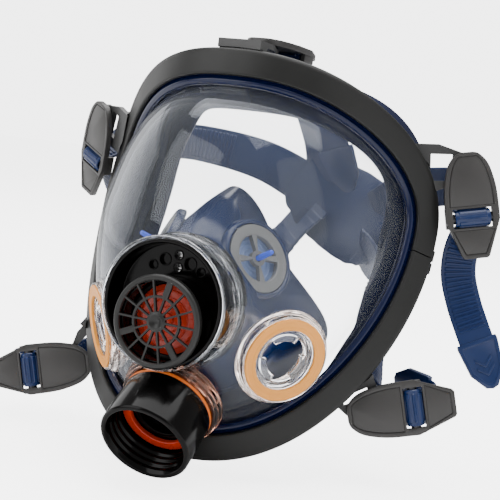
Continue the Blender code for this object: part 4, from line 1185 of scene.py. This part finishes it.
def strap_end(name):
    """Ribbed rubber strap over the bar, with a flat pointed tab on its free end."""
    place = buckle_place(name)
    path = resampled(strap_path(name), STRAP_STEP)
    side = place.to_3x3() @ X_AXIS
    length = STRAP_STEP * len(path)
    rings = strap_rings(path, [side] * len(path), [STRAP_HALF_WIDTH * MM] * len(path),
                        STRAP_WALL * MM, ribs(5 * MM, length - 8 * MM))
    strap = loft(f"strap_{name}", rings, STRAP_BLUE, False)
    tab = strap_tab(path, side)
    placed(joined(strap, *tab), "blue_rubber", f"strap_end_{name}", body=f"buckle_{name}")


TAB_OUTLINE = ((-10.6, -2), (10.6, -2), (10.9, 0), (9.0, 15), (3.2, 23.5), (0, 24.5),
               (-3.2, 23.5), (-9.0, 15), (-10.9, 0))


def strap_tab(path, side):
    """Pull tab: bevelled plate with a raised border and a chevron."""
    ahead = (path[-1] - path[-6]).normalized()
    across = (side - side.project(ahead)).normalized()
    normal = across.cross(ahead)
    turn = Matrix((across, ahead, normal)).transposed().to_4x4()
    place = Matrix.Translation(path[-1]) @ turn
    plate = prism("tab", [TAB_OUTLINE], -1.3, 1.3, place, STRAP_BLUE)
    inner = [(x * 0.80, 2.2 + (y - 0.5) * 0.80) for x, y in TAB_OUTLINE]
    plate = soften(cut(plate, prism("tab_face", [inner], 0.9, 3, place)), 0.4)
    chevrons = []
    for low in (7.0, 11.5):
        arrow = [(-4.6, low), (0, low + 4.2), (4.6, low), (4.6, low + 1.8), (0, low + 6.0),
                 (-4.6, low + 1.8)]
        chevrons.append(soften(prism("chevron", [arrow], 0.5, 1.25, place, STRAP_BLUE), 0.15))
    return [plate] + chevrons


PAD_PATH = ((-4, 86, 40), (10, 90, 30), (26, 91, 22), (42, 88, 14), (54, 82, 8))
PAD_HALF_WIDTHS = (14, 19, 23, 25, 26, 26, 25, 22, 17)
PAD_SIDE = Vector((0.3, 0.2, 0.9)).normalized()
# Harness arms: station and height on the pad where each starts, route to just behind its
# buckle (mm), and the direction of its width
HARNESS_ARMS = {
    "top": (2, 8, ((10, 86, 58), (4, 68, 82), (3, 46, 93)), (1, 0, 0)),
    "upper_left": (6, 10, ((66, 78, 38), (92, 64, 44), (106, 52, 44)), (0, -0.2, 1)),
    "upper_right": (2, 0, ((-24, 82, 45), (-60, 71, 51), (-82, 62.5, 50),
                       (-96, 48, 48)), (0, 0.15, 1)),
    "lower_left": (6, -10, ((60, 70, -18), (63, 50, -44), (76, 24, -66)), (-0.5, 0.2, 0.8)),
    "lower_right": (2, -6, ((-24, 76, -20), (-64, 52, -54), (-94, 22, -76)), (0.4, 0.3, 0.85)),
}


def head_harness():
    """One rubber moulding: a back pad with five arms that run to the buckles."""
    stations = [Vector(point) * MM for point in PAD_PATH]
    coarse = smooth(stations, 2)
    fine = smooth(stations, 14)
    halves = []
    for i in range(len(fine)):
        at = i / (len(fine) - 1) * (len(PAD_HALF_WIDTHS) - 1)
        k = min(int(at), len(PAD_HALF_WIDTHS) - 2)
        share = eased(at - k)
        halves.append((PAD_HALF_WIDTHS[k] * (1 - share) + PAD_HALF_WIDTHS[k + 1] * share) * MM)
    rings = strap_rings(fine, [PAD_SIDE] * len(fine), halves, 2.4 * MM, ribs(0, 0))
    pad = loft("harness_pad", rings, STRAP_BLUE, False)
    placed(pad, "blue_rubber", "head_harness")
    for name, (station, height, route, side) in HARNESS_ARMS.items():
        start = coarse[station] + PAD_SIDE * height * MM
        harness_arm(name, start, route, Vector(side))


ARM_HALF_WIDTHS = (13, 9.2)          # at the pad and at the buckle
ARM_RIBS_FROM = 0.45                # share of an arm's length where its ribs start
ARM_TURN_FROM = 0.7                 # where it starts to turn towards its buckle


def harness_arm(name, start, route, side):
    """One arm, which narrows towards its buckle and turns with it at the end."""
    place = buckle_place(name)
    end = place @ (Vector(STRAP_LEAD[-1]) * MM)
    points = [start] + [Vector(point) * MM for point in route] + [end]
    path = resampled(smooth(points, 12), ARM_STEP)
    last = place.to_3x3() @ X_AXIS
    if last.dot(side) < 0:
        last = -last
    count = len(path)
    sides = []
    halves = []
    for i in range(count):
        share = i / (count - 1)
        turn = max(0.0, (share - ARM_TURN_FROM) / (1 - ARM_TURN_FROM))
        sides.append(side.normalized().lerp(last, eased(turn)))
        halves.append((ARM_HALF_WIDTHS[0] * (1 - share) + ARM_HALF_WIDTHS[1] * share) * MM)
    length = ARM_STEP * count
    lift = ribs(length * ARM_RIBS_FROM, length - 2 * MM)
    rings = strap_rings(path, sides, halves, 2.0 * MM, lift)
    arm = loft(f"harness_arm_{name}", rings, STRAP_BLUE, False)
    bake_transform(arm)


# ---- pieces kept from the CAD

def dress(node, mat, edge=0.0):
    """Gives a CAD piece its material and, where asked, rounded edges."""
    obj = NODES[node]
    obj.data.materials.clear()
    obj.data.materials.append(mat)
    if edge:
        bevel(obj, edge).harden_normals = True


def kept_pieces():
    for _, word in SIDES:
        dress(f"rim_screw_{word}", STEEL)
        dress(f"rim_nut_{word}", STEEL, 0.2)
    for name in BUCKLES:
        dress(f"buckle_bar_{name}", DARK_STEEL)
        dress(f"buckle_rivet_{name}", RIM_BLACK)
        dress(f"strap_anchor_{name}", ANCHOR_GREY, 0.5)


# ---- assembly

def build():
    rim_halves()
    face_seal()
    visor()
    nose_cup()
    for side, word in SIDES:
        inhalation_valve(side, word)
        bayonet_inlet(side, word)
    front_housing()
    clamp_ring()
    speech_parts()
    exhalation_parts()
    canister_port()
    for name in BUCKLES:
        buckle(name)
        strap_end(name)
    head_harness()
    kept_pieces()


camera()
studio()
build()
